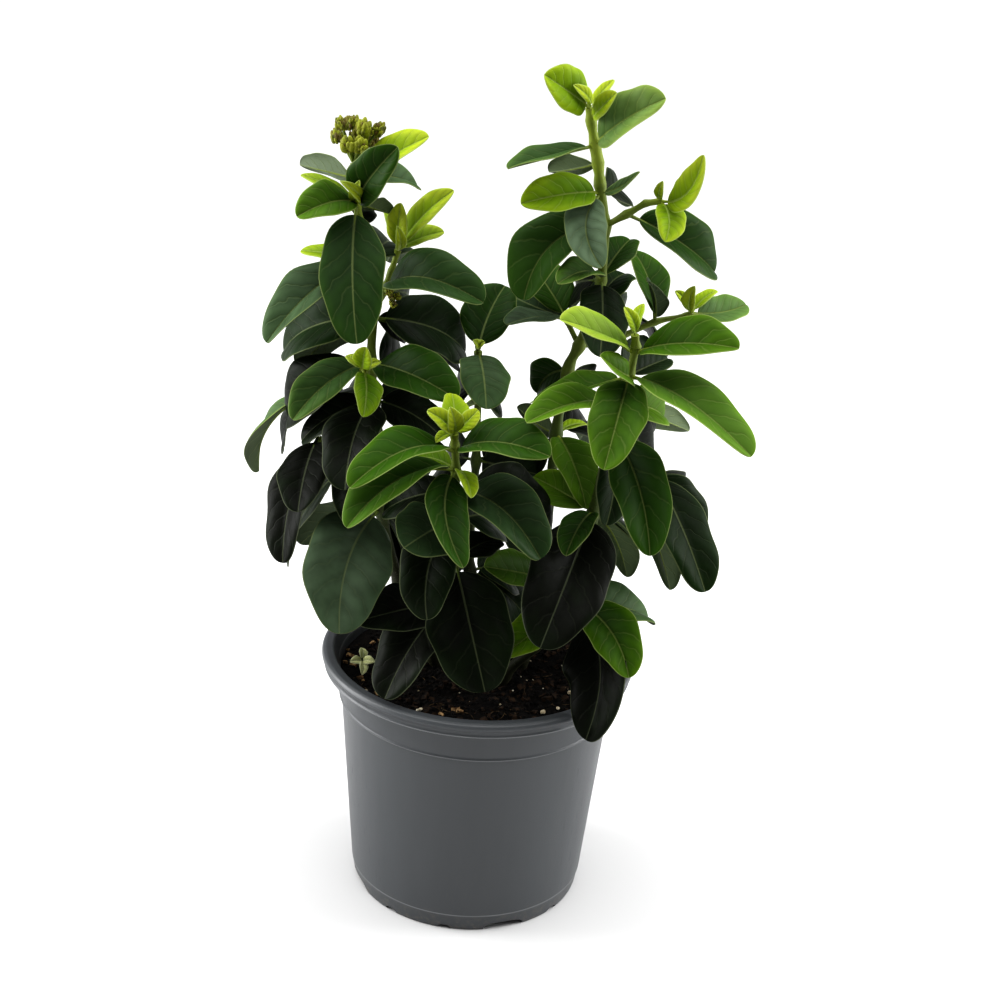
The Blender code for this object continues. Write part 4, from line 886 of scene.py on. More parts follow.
@dataclass(frozen=True)
class LeafUpperFinish:
    """The glossy upper face: near black when old, lime when young, with pale rib, veins and margin.

    Painted sheen, painted shade in the vein hollows and at the base, and painted light towards the
    margin and the tip are mixed into its colour.
    """

    name: str = "leaf_upper"
    black: Colour = (0.0036, 0.0044, 0.0026)
    deep: Colour = (0.0090, 0.0250, 0.0040)
    grown: Colour = (0.0200, 0.0560, 0.0026)
    bright: Colour = (0.0700, 0.1450, 0.0036)
    lime: Colour = (0.1950, 0.2900, 0.0080)
    tip: Colour = (0.2900, 0.3600, 0.0200)
    # Painted sheen: the pale grey-green that stands in for light reflected off the blade
    bloom: Colour = (0.1350, 0.1900, 0.1200)
    old_line: Colour = (0.0680, 0.0800, 0.0450)
    fresh_line: Colour = (0.3400, 0.4300, 0.1100)
    vein_pairs: float = 6.0
    roughness: float = 0.36
    gloss: float = 0.045

    def tones(self, surface: SurfaceGraph, tone: Term) -> Term:
        """The blade's own colour from old to young."""
        return surface.node("ShaderNodeValToRGB", {"stops": (
            (0.0, self.black), (0.22, self.deep), (0.42, self.grown), (0.66, self.bright),
            (0.88, self.lime), (1.0, self.tip))}, {"Fac": tone}, "Color")

    def material(self) -> bpy.types.Material:
        """Build the nodes.

        Returns:
            The material.
        """
        surface = SurfaceGraph(self.name)
        tone = surface.attribute("tone")
        lines = VeinLines(surface, self.vein_pairs)
        cloud = surface.noise(surface.place, 70.0, 3.0)
        mottle = surface.noise(surface.place, 420.0, 2.0)
        # Painted light: the tone is raised towards the margin and the tip, and painted shade lowers it at
        # the base
        colour = self.tones(surface, tone + (cloud - 0.5) * 0.14 + lines.light * (0.02 + 0.12 * tone))
        # Painted sheen, in patches, in place of light reflected off the blade
        painted_sheen_share = surface.attribute("bloom") * cloud.eased(0.2, 0.8, 0.55, 1.0)
        colour = surface.mixed(painted_sheen_share, colour, self.bloom)
        # Painted shade in the hollows along the side veins, plus a darker tone at random for each leaf
        vein_shade_and_tone = 0.10 + (0.24 - 0.16 * tone) * lines.painted_vein_shade - 0.20 * surface.attribute("seed")
        colour = surface.mixed(vein_shade_and_tone, colour, (0.0, 0.0, 0.0))
        line = surface.mixed(tone, self.old_line, self.fresh_line)
        colour = surface.mixed(lines.rib * 0.55 + lines.margin * 0.75, colour, line)
        colour = surface.mixed(lines.side * (0.05 + 0.16 * tone), colour, line)
        rough = self.roughness + 0.12 * mottle + 0.12 * tone
        height = 0.55 + 0.32 * lines.pucker + 0.05 * mottle - 0.45 * lines.rib - 0.28 * lines.side
        return surface.finish(colour, rough, height, 0.35, Specular_IOR_Level=self.gloss)


@dataclass(frozen=True)
class LeafUnderFinish:
    """The matt underside: paler, with the rib and veins standing out, and with painted sheen."""

    name: str = "leaf_under"
    old: Colour = (0.022, 0.040, 0.016)
    fresh: Colour = (0.120, 0.175, 0.040)
    cloudy: Colour = (0.012, 0.022, 0.008)
    # Painted sheen: the pale grey-green that stands in for light reflected off the underside
    bloom: Colour = (0.150, 0.190, 0.120)
    old_line: Colour = (0.080, 0.100, 0.050)
    fresh_line: Colour = (0.240, 0.310, 0.100)
    vein_pairs: float = 6.0
    roughness: float = 0.56

    def material(self) -> bpy.types.Material:
        """Build the nodes.

        Returns:
            The material.
        """
        surface = SurfaceGraph(self.name)
        tone = surface.attribute("tone")
        lines = VeinLines(surface, self.vein_pairs)
        cloud = surface.noise(surface.place, 90.0, 3.0)
        colour = surface.mixed(tone, self.old, self.fresh)
        # Painted sheen mixed into the underside
        colour = surface.mixed(surface.attribute("bloom"), colour, self.bloom)
        colour = surface.mixed(0.35 * cloud, colour, self.cloudy)
        line = surface.mixed(tone, self.old_line, self.fresh_line)
        colour = surface.mixed(lines.rib * 0.8 + lines.side * 0.35 + lines.margin * 0.5, colour, line)
        height = 0.2 + 0.6 * lines.rib + 0.4 * lines.side + 0.15 * surface.noise(surface.place, 900.0, 2.0)
        return surface.finish(colour, self.roughness + 0.1 * cloud, height, 0.5, Specular_IOR_Level=0.12)


class VeinLines:
    """Masks of a leaf's rib, side veins and margin, from what is stored on the blade.

    Two of them paint light and shade: shade in the hollows along the side veins, and light towards
    the margin and the tip with shade at the base.
    """

    def __init__(self, surface: SurfaceGraph, pairs: float) -> None:
        """Work the masks out.

        Args:
            surface: the material's nodes.
            pairs: how many side veins leave the rib on each side.
        """
        across = surface.attribute("across")
        along = surface.attribute("along")
        half = surface.attribute("half_mm")
        side = across.apply("ABSOLUTE")
        wiggle = surface.noise(surface.place, 160.0, 1.0) * 0.10
        from_rib = side * half
        from_edge = (1.0 - side) * half
        left = across > 0.0
        course = (along - 0.26 * side + wiggle + 0.035 * left) * pairs
        ridge = (course * math.tau).apply("COSINE") * 0.5 + 0.5
        fade = side.eased(0.82, 1.0, 1.0, 0.0) * along.eased(0.85, 1.0, 1.0, 0.0)
        self.rib = (from_rib - 0.35 * (1.0 - along)).eased(0.05, 0.55, 1.0, 0.0)
        self.side = ridge.eased(0.95, 1.0) * fade
        self.pucker = (1.0 - ridge) * fade
        # Painted shade: the hollow along each side vein, which the upper face darkens
        self.painted_vein_shade = ridge * fade
        self.margin = from_edge.eased(0.15, 0.70, 1.0, 0.0)
        # Painted light near the margin and towards the tip, painted shade at the base
        self.light = from_edge.eased(0.0, 6.0, 1.0, 0.0) + along.eased(0.0, 1.0) - 0.8


@dataclass(frozen=True)
class ShootFinish:
    """Stems and stalks: lime and smooth when young, olive to brown and rough lower down."""

    name: str = "shoot"
    woody: Colour = (0.020, 0.018, 0.009)
    olive: Colour = (0.050, 0.085, 0.008)
    fresh: Colour = (0.240, 0.310, 0.018)
    pore: Colour = (0.090, 0.076, 0.045)

    def material(self) -> bpy.types.Material:
        """Build the nodes."""
        surface = SurfaceGraph(self.name)
        tone = surface.attribute("tone")
        colour = surface.node("ShaderNodeValToRGB", {"stops": (
            (0.0, self.woody), (0.35, self.olive), (1.0, self.fresh))}, {"Fac": tone}, "Color")
        patch = surface.noise(surface.place, 240.0, 4.0)
        pores = surface.noise(surface.place, 1100.0, 1.0).eased(0.62, 0.72)
        colour = surface.mixed(0.45 * patch, colour, (0.020, 0.022, 0.010))
        colour = surface.mixed(pores * (0.55 - 0.45 * tone), colour, self.pore)
        height = 0.5 * patch + 0.4 * pores
        return surface.finish(colour, 0.52 + 0.16 * patch, height, 0.35, Specular_IOR_Level=0.25)


@dataclass(frozen=True)
class BudFinish:
    """Flower buds: tight olive and lime knobs with a red-brown flush."""

    name: str = "flower_bud"
    lime: Colour = (0.230, 0.255, 0.012)
    olive: Colour = (0.075, 0.085, 0.007)
    flush: Colour = (0.085, 0.044, 0.012)

    def material(self) -> bpy.types.Material:
        """Build the nodes."""
        surface = SurfaceGraph(self.name)
        patch = surface.noise(surface.place, 420.0, 2.0)
        colour = surface.mixed(patch.eased(0.36, 0.62), self.olive, self.lime)
        seed = surface.attribute("seed")
        colour = surface.mixed(seed.eased(0.35, 1.0) * 0.75, colour, self.flush)
        colour = surface.mixed(seed.eased(-1.0, 0.0, 0.55, 0.0), colour, self.lime)
        grain = surface.noise(surface.place, 1900.0, 2.0)
        return surface.finish(colour, 0.55 + 0.1 * patch, grain, 0.25, Specular_IOR_Level=0.25)


@dataclass(frozen=True)
class PotFinish:
    """Satin moulded plastic, mid grey, with flow marks, fine scuffs and dust near the foot.

    Pale lines at the foot, the step and under the lip are painted highlights on the moulded edges.
    """

    name: str = "pot_plastic"
    grey: Colour = (0.044, 0.048, 0.052)
    pale: Colour = (0.080, 0.083, 0.086)
    # Painted highlight: the pale colour of the lines where light catches the moulded edges
    edge_highlight: Colour = (0.190, 0.196, 0.200)
    edges: tuple[float, ...] = (0.0102, 0.1132, 0.1321)
    dust: Colour = (0.100, 0.088, 0.070)

    def material(self) -> bpy.types.Material:
        """Build the nodes.

        Returns:
            The material.
        """
        surface = SurfaceGraph(self.name)
        apart = surface.node("ShaderNodeSeparateXYZ", {}, {0: surface.place}, "Z")
        stretched = surface.node("ShaderNodeMapping", {}, {"Vector": surface.place,
                                                           "Scale": (1.0, 1.0, 0.12)})
        flow = surface.noise(stretched, 85.0, 3.0)
        grain = surface.noise(surface.place, 2600.0, 2.0)
        scuff = surface.noise(stretched, 620.0, 4.0).eased(0.60, 0.78)
        colour = surface.mixed(0.55 * flow, self.grey, (0.036, 0.040, 0.044))
        colour = surface.mixed(0.20 * scuff, colour, self.pale)
        low = apart.eased(0.0, 0.016, 1.0, 0.0)
        speck = surface.noise(surface.place, 330.0, 4.0).eased(0.45, 0.75)
        colour = surface.mixed(low * speck * 0.55, colour, self.dust)
        # Painted highlights: pale lines at the foot, the step and under the lip, where light catches the
        # moulded edges
        for edge in self.edges:
            line = (apart - edge).apply("ABSOLUTE").eased(0.00020, 0.00055, 1.0, 0.0)
            colour = surface.mixed(line * (0.35 + 0.5 * flow), colour, self.edge_highlight)
        rough = 0.35 + 0.12 * flow + 0.16 * scuff + 0.05 * grain
        return surface.finish(colour, rough, 0.7 * grain + 0.3 * flow, 0.06)


@dataclass(frozen=True)
class SoilFinish:
    """Moist dark potting mix: near black with brown fibre and paler crumbs."""

    name: str = "potting_mix"
    dark: Colour = (0.0016, 0.0014, 0.0013)
    brown: Colour = (0.0080, 0.0058, 0.0042)
    straw: Colour = (0.0900, 0.0600, 0.0340)

    def material(self) -> bpy.types.Material:
        """Build the nodes."""
        surface = SurfaceGraph(self.name)
        lumps = surface.noise(surface.place, 260.0, 5.0, 0.65)
        fine = surface.noise(surface.place, 1400.0, 4.0, 0.6)
        colour = surface.mixed(lumps.eased(0.35, 0.70), self.dark, self.brown)
        colour = surface.mixed(fine.eased(0.72, 0.84) * 0.5, colour, self.straw)
        return surface.finish(colour, 0.80 + 0.15 * fine, 0.6 * lumps + 0.4 * fine, 1.2,
                              Specular_IOR_Level=0.1)


@dataclass(frozen=True)
class CrumbFinish:
    """What is scattered on the mix: bark, fibre or perlite, each of one colour range."""

    name: str
    first: Colour
    second: Colour
    scale: float
    roughness: float = 0.85

    def material(self) -> bpy.types.Material:
        """Build the nodes."""
        surface = SurfaceGraph(self.name)
        patch = surface.noise(surface.place, self.scale, 3.0)
        fine = surface.noise(surface.place, self.scale * 6.0, 3.0)
        colour = surface.mixed(patch.eased(0.35, 0.65), self.first, self.second)
        return surface.finish(colour, self.roughness + 0.1 * fine, fine, 0.4, Specular_IOR_Level=0.15)


@dataclass(frozen=True)
class FloorFinish:
    """The plain pale floor."""

    name: str = "studio_floor"
    pale: Colour = (0.50, 0.50, 0.50)

    def material(self) -> bpy.types.Material:
        """Build the nodes."""
        surface = SurfaceGraph(self.name)
        soft = surface.noise(surface.place, 3.0, 2.0)
        colour = surface.mixed(0.04 * soft, self.pale, (0.46, 0.46, 0.46))
        return surface.finish(colour, 0.95, Specular_IOR_Level=0.1)


# The plant


def smoothed(path: Path, spacing: float) -> Path:
    """A path drawn as one smooth curve through its points.

    Args:
        path: (point, radius) pairs in mm.
        spacing: about how far apart the new points are.

    Returns:
        The finer path.
    """
    points = [p for p, _ in path]
    ends = [points[0] * 2.0 - points[1]] + points + [points[-1] * 2.0 - points[-2]]
    result = []
    for i in range(len(path) - 1):
        a, b, c, d = ends[i:i + 4]
        steps = max(2, round((c - b).length / spacing))
        for k in range(steps):
            t = k / steps
            point = 0.5 * (2.0 * b + (c - a) * t + (2.0 * a - 5.0 * b + 4.0 * c - d) * t * t
                           + (3.0 * b - a - 3.0 * c + d) * t ** 3)
            result.append((point, path[i][1] * (1.0 - t) + path[i + 1][1] * t))
    return result + [path[-1]]


@dataclass
class Foliage:
    """Leaf blades: one tree shapes each from its midrib, width, fold, wave and twist.

    thickness and least_half are in mm. The rates say how fast the edge's ripple and wave run along
    the leaf, twist_from is the share of the length about which the blade twists, and edge_thinning is
    what the thickness loses at the margin.
    """

    upper: bpy.types.Material
    under: bpy.types.Material
    columns: int = 13
    rows: int = 38
    thickness: float = 0.45
    least_half: float = 0.22
    curl: float = 0.10
    tip_fullness: float = 0.84
    ripple: float = 0.035
    ripple_rate: float = 17.0
    wave_rate: float = 9.0
    twist_from: float = 0.3
    edge_thinning: float = 0.45
    graph: ShapeGraph = field(init=False)

    def __post_init__(self) -> None:
        """Build the tree."""
        graph = ShapeGraph("leaf blades", {
            "Columns": self.columns, "Rows": self.rows, "Thickness": self.thickness * MM,
            "Least half": self.least_half * MM, "Curl": self.curl,
            "Upper": self.upper, "Under": self.under})
        sheet = graph.node("GeometryNodeMeshCube", {}, {
            "Size": (2.0, 1.0, 1.0), "Vertices X": graph.given("Columns"),
            "Vertices Y": graph.given("Rows"), "Vertices Z": 2})
        x, y, z = graph.parts(graph.node("GeometryNodeInputPosition"))
        rising = graph.parts(graph.node("GeometryNodeInputNormal"))[2]
        sheet = graph.keep(sheet, "across", x)
        sheet = graph.keep(sheet, "along", 0.5 - 0.5 * ((y + 0.5) * math.pi).apply("COSINE"))
        sheet = graph.keep(sheet, "level", z)
        sheet = graph.keep(sheet, "under", (0.0 - rising) > 0.5, "BOOLEAN", "FACE")
        leaves = graph.copied(graph.given("Geometry"), sheet)
        spot, half = self.placed(graph)
        leaves = graph.keep(leaves, "half_mm", half * 1000.0)
        leaves = graph.sharpened(graph.moved(leaves, Position=spot), 1.0)
        leaves = graph.coated(leaves, "Upper")
        graph.end(graph.coated(leaves, "Under", graph.stored("under", "BOOLEAN")))
        self.graph = graph

    def placed(self, graph: ShapeGraph) -> tuple[Term, Term]:
        """Each point's place on its blade.

        Args:
            graph: the tree.

        Returns:
            The place, and half the blade's width there.
        """
        across = graph.stored("across")
        u = graph.stored("along")
        stalk = graph.stored("stalk")
        chord = graph.stored("chord", "FLOAT_VECTOR")
        normal = graph.stored("normal", "FLOAT_VECTOR")
        share = stalk + (1.0 - stalk) * u
        length = chord.arrow("LENGTH")
        side = chord.arrow("NORMALIZE").arrow("CROSS_PRODUCT", normal)
        lean = normal * graph.stored("arch") + side * graph.stored("sweep")
        bow = share * (1.0 - share) * length * 4.0
        centre = graph.stored("base", "FLOAT_VECTOR") + chord * share + lean * bow
        way = (chord + lean * (length * 4.0 * (1.0 - 2.0 * share))).arrow("NORMALIZE")
        flat = (normal - way * normal.arrow("DOT_PRODUCT", way)).arrow("NORMALIZE")
        over = way.arrow("CROSS_PRODUCT", flat)
        roll = graph.stored("twist") * (share - self.twist_from)
        flat = flat * roll.apply("COSINE") + over * roll.apply("SINE")
        over = way.arrow("CROSS_PRODUCT", flat)
        power = BLADE_BASE_TAPER + (graph.stored("blunt") - BLADE_BASE_TAPER) * (u > 0.5)
        shape = (u ** BLADE_MIDDLE * math.pi).apply("SINE").at_least(0.0) ** power
        phase = graph.stored("phase")
        uneven = 1.0 + self.ripple * (share * self.ripple_rate + phase * 3.0 + across * 1.9).apply("SINE")
        half = (graph.stored("half_width") * shape * uneven).at_least(graph.given("Least half"))
        out = across.apply("ABSOLUTE")
        rise = graph.stored("rise")
        wave = graph.stored("wave") * (share * self.wave_rate + phase + across * 1.3).apply("SINE")
        lift = rise.apply("SINE") * out * (1.6 - 0.6 * out) + wave * out * out
        lift = (lift - graph.given("Curl") * out ** 6.0) * half
        thin = 1.0 - self.edge_thinning * out ** 4.0
        lift = lift + graph.stored("level") * graph.given("Thickness") * thin
        spot = centre + over * (across * half * rise.apply("COSINE")) + flat * lift
        return spot, half

    def grown(self, name: str, poses: Sequence[LeafPose]) -> bpy.types.Object:
        """The blades of one shoot.

        Args:
            name: the piece's name.
            poses: its leaves.

        Returns:
            The piece.
        """
        attributes = {
            "base": [p.base * MM for p in poses],
            "chord": [p.chord * MM for p in poses],
            "normal": [p.normal for p in poses],
            "half_width": [p.leaf.width * 0.5 * MM for p in poses],
            "arch": [p.leaf.arch for p in poses],
            "sweep": [p.leaf.sweep for p in poses],
            "stalk": [p.leaf.age.stalk for p in poses],
            "rise": [math.radians(p.leaf.age.rise) for p in poses],
            "wave": [p.leaf.age.wave for p in poses],
            "blunt": [p.leaf.age.blunt * self.tip_fullness for p in poses],
            "phase": [p.phase for p in poses],
            "twist": [p.twist for p in poses],
            "tone": [p.tone for p in poses],
            "bloom": [p.bloom for p in poses],
            "seed": [p.luck for p in poses]}
        piece = carrier(name, [p.base for p in poses], (), attributes)
        return self.graph.applied(piece, ("across", "along", "half_mm", "tone", "bloom", "seed"))


@dataclass
class Shoots:
    """Stems, stalks and raised midribs: one tree skins every line with a tube of its own radius.

    Lengths are in mm. A stem is slim times its radius, and swells at a joint by knuckle over a reach of
    knuckle_reach radii. Its tone rises from woody_height over green_span and in twigs thinner than
    twig_radius, and a young shoot is fresh a distance of greening from its foot. A stalk has its full
    radius on a leaf of full_width or more, and the rib ends at the share rib_end of the length.
    """

    bark: bpy.types.Material
    sides: int = 10
    spacing: float = 3.0
    slim: float = 0.88
    knuckle: float = 0.46
    knuckle_reach: float = 1.6
    ripple: float = 0.04
    tone_limits: tuple[float, float] = (0.04, 0.6)
    woody_height: float = 150.0
    green_span: float = 260.0
    twig_radius: float = 2.6
    fresh_tone: float = 0.9
    greening: float = 9.0
    full_width: float = 22.0
    rib_steps: int = 12
    stalk_radius: float = 0.85
    rib_end: float = 0.88
    graph: ShapeGraph = field(init=False)

    def __post_init__(self) -> None:
        """Build the tree."""
        graph = ShapeGraph("shoot skin", {"Sides": self.sides, "Bark": self.bark})
        lines = graph.node("GeometryNodeMeshToCurve", {}, {"Mesh": graph.given("Geometry")})
        ring = graph.node("GeometryNodeCurvePrimitiveCircle", {}, {
            "Resolution": graph.given("Sides"), "Radius": 1.0})
        skin = graph.node("GeometryNodeCurveToMesh", {}, {
            "Curve": lines, "Profile Curve": ring, "Scale": graph.stored("girth"),
            "Fill Caps": True})
        graph.end(graph.coated(graph.sharpened(skin, 1.2), "Bark"))
        self.graph = graph

    def stem_line(self, stem: Stem, path: Path, root: Optional[tuple[Vector, float]]) -> "Line":
        """A stem's line, with a knuckle at each joint.

        Args:
            stem: the stem.
            path: its joints.
            root: where and how thick a young shoot leaves the stem that it tops.

        Returns:
            The line.
        """
        joints = [point for point, _ in path[1:]]
        start = path[0][0]
        least, most = self.tone_limits
        if stem.own_piece:
            path = [root] + path[1:]
            start = root[0]
            joints.append(start)
        line = Line()
        for point, radius in smoothed(path, self.spacing):
            near = min((point - joint).length for joint in joints)
            swell = self.slim + self.knuckle * math.exp(-(near / (self.knuckle_reach * radius)) ** 2)
            uneven = 1.0 + self.ripple * math.sin(point.z * 0.6 + point.x * 0.4)
            green = (point.z - self.woody_height) / self.green_span + (self.twig_radius - radius) * 0.16
            tone = min(most, max(least, green))
            if stem.own_piece:
                tone += (self.fresh_tone - tone) * min(1.0, (point - start).length / self.greening)
            line.add(point, radius * swell * uneven, tone)
        return line

    def stalk_line(self, pose: LeafPose) -> "Line":
        """A leaf's stalk, running on below the blade as its raised midrib."""
        age = pose.leaf.age
        size = min(1.0, pose.leaf.width / self.full_width) * self.stalk_radius
        line = Line()
        for t in (0.0, 0.03, 0.06, age.stalk, age.stalk + 0.04):
            line.add(pose.midrib(t) - pose.normal * (0.2 * size), size * (1.25 - 2.5 * t), pose.stalk_tone)
        for k in range(1, self.rib_steps + 1):
            t = age.stalk + 0.04 + (self.rib_end - age.stalk - 0.04) * k / self.rib_steps
            radius = size * (0.62 - 0.5 * k / self.rib_steps)
            line.add(pose.midrib(t) - pose.normal * (0.1 + 0.55 * radius), radius, pose.stalk_tone)
        return line

    def grown(self, name: str, lines: Sequence["Line"]) -> bpy.types.Object:
        """The skin of one shoot's lines."""
        points, girths, tones, edges = [], [], [], []
        for line in lines:
            first = len(points)
            points += line.points
            girths += [radius * MM for radius in line.radii]
            tones += line.tones
            edges += [(k, k + 1) for k in range(first, len(points) - 1)]
        piece = carrier(name, points, edges, {"girth": girths, "tone": tones})
        return self.graph.applied(piece, ("tone",))


@dataclass
class Line:
    """Points in mm with a radius and a tone at each."""

    points: list[Vector] = field(default_factory=list)
    radii: list[float] = field(default_factory=list)
    tones: list[float] = field(default_factory=list)

    def add(self, point: Vector, radius: float, tone: float) -> None:
        """Add a point to the end."""
        self.points.append(point)
        self.radii.append(radius)
        self.tones.append(tone)


@dataclass
class FlowerBuds:
    """Heads of flower buds: a tree sets small egg-shaped buds over the end of each short branch.

    radius is a bud's, in mm, in a head of full size, and the ranges are what one bud's size and its
    distance from the branch's end are multiplied by. cover says how far down the end the buds reach,
    bract is how much larger a broad bud is, and sag is the branches' bow in mm.
    """

    skin: bpy.types.Material
    count: int = 32
    radius: float = 1.02
    core: float = 0.9
    spread: float = 0.78
    stretch: float = 1.35
    full_size: float = 2.9
    size_range: tuple[float, float] = (0.65, 1.15)
    reach_range: tuple[float, float] = (0.75, 1.2)
    cover: float = 1.7
    bract: float = 1.6
    upward: float = 0.9
    twig_steps: int = 6
    twig_tone: float = 0.62
    sag: float = 1.6
    graph: ShapeGraph = field(init=False)

    def __post_init__(self) -> None:
        """Build the tree."""
        graph = ShapeGraph("flower buds", {"Sides": 8, "Rings": 7, "Skin": self.skin})
        egg = graph.node("GeometryNodeMeshUVSphere", {}, {
            "Segments": graph.given("Sides"), "Rings": graph.given("Rings"), "Radius": 1.0})
        x, y, z = graph.parts(graph.node("GeometryNodeInputPosition"))
        narrow = 1.0 - 0.22 * z
        egg = graph.moved(egg, Position=graph.node(
            "ShaderNodeCombineXYZ", {}, {"X": x * narrow, "Y": y * narrow, "Z": z * 1.6 + 0.8}))
        turned_to = graph.node("FunctionNodeAlignRotationToVector", {"axis": "Z"}, {
            "Vector": graph.stored("heading", "FLOAT_VECTOR")})
        buds = graph.copied(graph.given("Geometry"), egg, Rotation=turned_to, Scale=graph.stored("size"))
        graph.end(graph.coated(graph.sharpened(buds, 1.4), "Skin"))
        self.graph = graph

    def twigs(self, plant: Plant, head: BudHead) -> list[Line]:
        """The short branches of a head."""
        start = bud_head_start(plant, head)
        lines = []
        for end in bud_head_ends(plant, head):
            line = Line()
            for k in range(self.twig_steps + 1):
                t = k / self.twig_steps
                sag = Vector((0.0, 0.0, 1.0)) * (self.sag * t * (1.0 - t))
                line.add(start.lerp(end, t) + sag, head.twig * (1.0 - 0.45 * t), self.twig_tone)
            lines.append(line)
        return lines

    def grown(self, name: str, plant: Plant, head: BudHead) -> bpy.types.Object:
        """The buds of one head.

        Args:
            name: the piece's name.
            plant: the stems.
            head: the head.

        Returns:
            The piece.
        """
        draw = random.Random(len(head.tips))
        start = bud_head_start(plant, head)
        points, sizes, headings, seeds = [], [], [], []
        ends = bud_head_ends(plant, head)
        core = start.lerp(sum(ends, Vector()) / len(ends), self.core)
        for number, end in enumerate(ends + [core]):
            way = (end - start).normalized()
            side = way.orthogonal().normalized()
            broad = number in head.bracts
            for k in range(self.count):
                turn = k * GOLDEN_TURN
                share = (k + 0.5) / self.count
                height = 1.0 - self.cover * share
                flat = math.sqrt(max(0.0, 1.0 - height * height))
                out = (way * (height * self.stretch) + side * (flat * math.cos(turn))
                       + way.cross(side) * (flat * math.sin(turn)))
                size = head.bud / self.full_size * self.radius * draw.uniform(*self.size_range)
                points.append(end + out * (head.bud * self.spread * draw.uniform(*self.reach_range)))
                sizes.append(size * (self.bract if broad and k % 2 else 1.0) * MM)
                headings.append((out * 0.5 + way + Vector((0.0, 0.0, self.upward))).normalized())
                seeds.append(-1.0 if broad and k % 2 else draw.random())
        piece = carrier(name, points, (), {"size": sizes, "heading": headings, "seed": seeds})
        return self.graph.applied(piece, ("seed",))


def bud_head_start(plant: Plant, head: BudHead) -> Vector:
    """Where a head's branches start, in mm."""
    base, radius, way = plant.joints[head.joint]
    if head.beside:
        way = (VIEW.at_depth(head.tips[0], base.y + head.depth_fan[0]) - base).normalized()
    return base + way * (GAP + (radius + 2.0 * head.twig if head.beside else 0.0))


def bud_head_ends(plant: Plant, head: BudHead) -> list[Vector]:
    """Where a head's branches end, in mm."""
    base = plant.joints[head.joint][0]
    return [VIEW.at_depth(tip, base.y + depth) for tip, depth in zip(head.tips, head.depth_fan)]


@dataclass
class Shrub:
    """The whole plant: stems, leaves, buds and the weed seedling, each on the node that it stands for."""

    foliage: Foliage
    shoots: Shoots
    buds: FlowerBuds
    seedling: Foliage

    def slot_of(self, body: str) -> str:
        """The record's material slot of a node."""
        if body == "seedling":
            return "seedling"
        if body.startswith("flower"):
            return "buds"
        return "leafy" if body.startswith("leafy") else "young"

    def build(self) -> None:
        """Grow every node."""
        plant = Plant()
        lines: dict[str, list[Line]] = {}
        for stem, path, root in plant.paths:
            lines.setdefault(stem.body, []).append(self.shoots.stem_line(stem, path, root))
        leaves: dict[str, list[LeafPose]] = {}
        for seed, leaf in enumerate(LEAVES):
            body = plant.bodies[leaf.joint]
            pose = LeafPose(leaf, plant.leaf_base(leaf.joint), seed)
            leaves.setdefault(body, []).append(pose)
            lines[body].append(self.shoots.stalk_line(pose))
        for body, grown in leaves.items():
            maker = self.seedling if body == "seedling" else self.foliage
            seat(maker.grown(body + "_leaves", grown), self.slot_of(body), body)
            seat(self.shoots.grown(body + "_shoots", lines[body]), self.slot_of(body), body)
        for head in BUD_HEADS:
            seat(self.buds.grown(head.body + "_buds", plant, head), "buds", head.body)
            twigs = self.buds.twigs(plant, head)
            seat(self.shoots.grown(head.body + "_twigs", twigs), "buds", head.body)


# The pot and its soil


def turned(profile: Sequence[tuple[float, float]], sides: int) -> Solid:
    """A profile turned about Z.

    Args:
        profile: (radius, height) pairs from pole to pole, bottom pole first.
        sides: sides of the turned shape.

    Returns:
        Vertices and faces.
    """
    vertices = []
    rings = []
    for radius, height in profile:
        count = sides if radius > 0.0 else 1
        rings.append(range(len(vertices), len(vertices) + count))
        for i in range(count):
            angle = 2.0 * math.pi * i / count
            vertices.append((radius * math.cos(angle), radius * math.sin(angle), height))
    faces = []
    for low, high in zip(rings, rings[1:]):
        for i in range(sides):
            j = (i + 1) % sides
            if len(low) == 1:
                faces.append((low[0], high[j], high[i]))
            elif len(high) == 1:
                faces.append((low[i], low[j], high[0]))
            else:
                faces.append((low[i], low[j], high[j], high[i]))
    return vertices, faces


def rounded(profile: Sequence[tuple[float, float]], radius: float, steps: int = 3
            ) -> list[tuple[float, float]]:
    """A profile with each corner rounded off."""
    result = [profile[0]]
    for before, corner, after in zip(profile, profile[1:], profile[2:]):
        a, b, c = Vector(before), Vector(corner), Vector(after)
        first = b + (a - b) * min(0.45, radius / max((a - b).length, 1e-6))
        last = b + (c - b) * min(0.45, radius / max((c - b).length, 1e-6))
        for k in range(steps + 1):
            t = k / steps
            point = first * (1.0 - t) ** 2 + b * (2.0 * t * (1.0 - t)) + last * t * t
            result.append((point.x, point.y))
    return result + [profile[-1]]


def linked(name: str, solid: Solid, collection: Optional[bpy.types.Collection] = None
           ) -> bpy.types.Object:
    """An object from vertices in mm and faces."""
    mesh = bpy.data.meshes.new(name)
    mesh.from_pydata([tuple(Vector(v) * MM) for v in solid[0]], [], solid[1])
    piece = bpy.data.objects.new(name, mesh)
    (collection or bpy.context.scene.collection).objects.link(piece)
    return piece


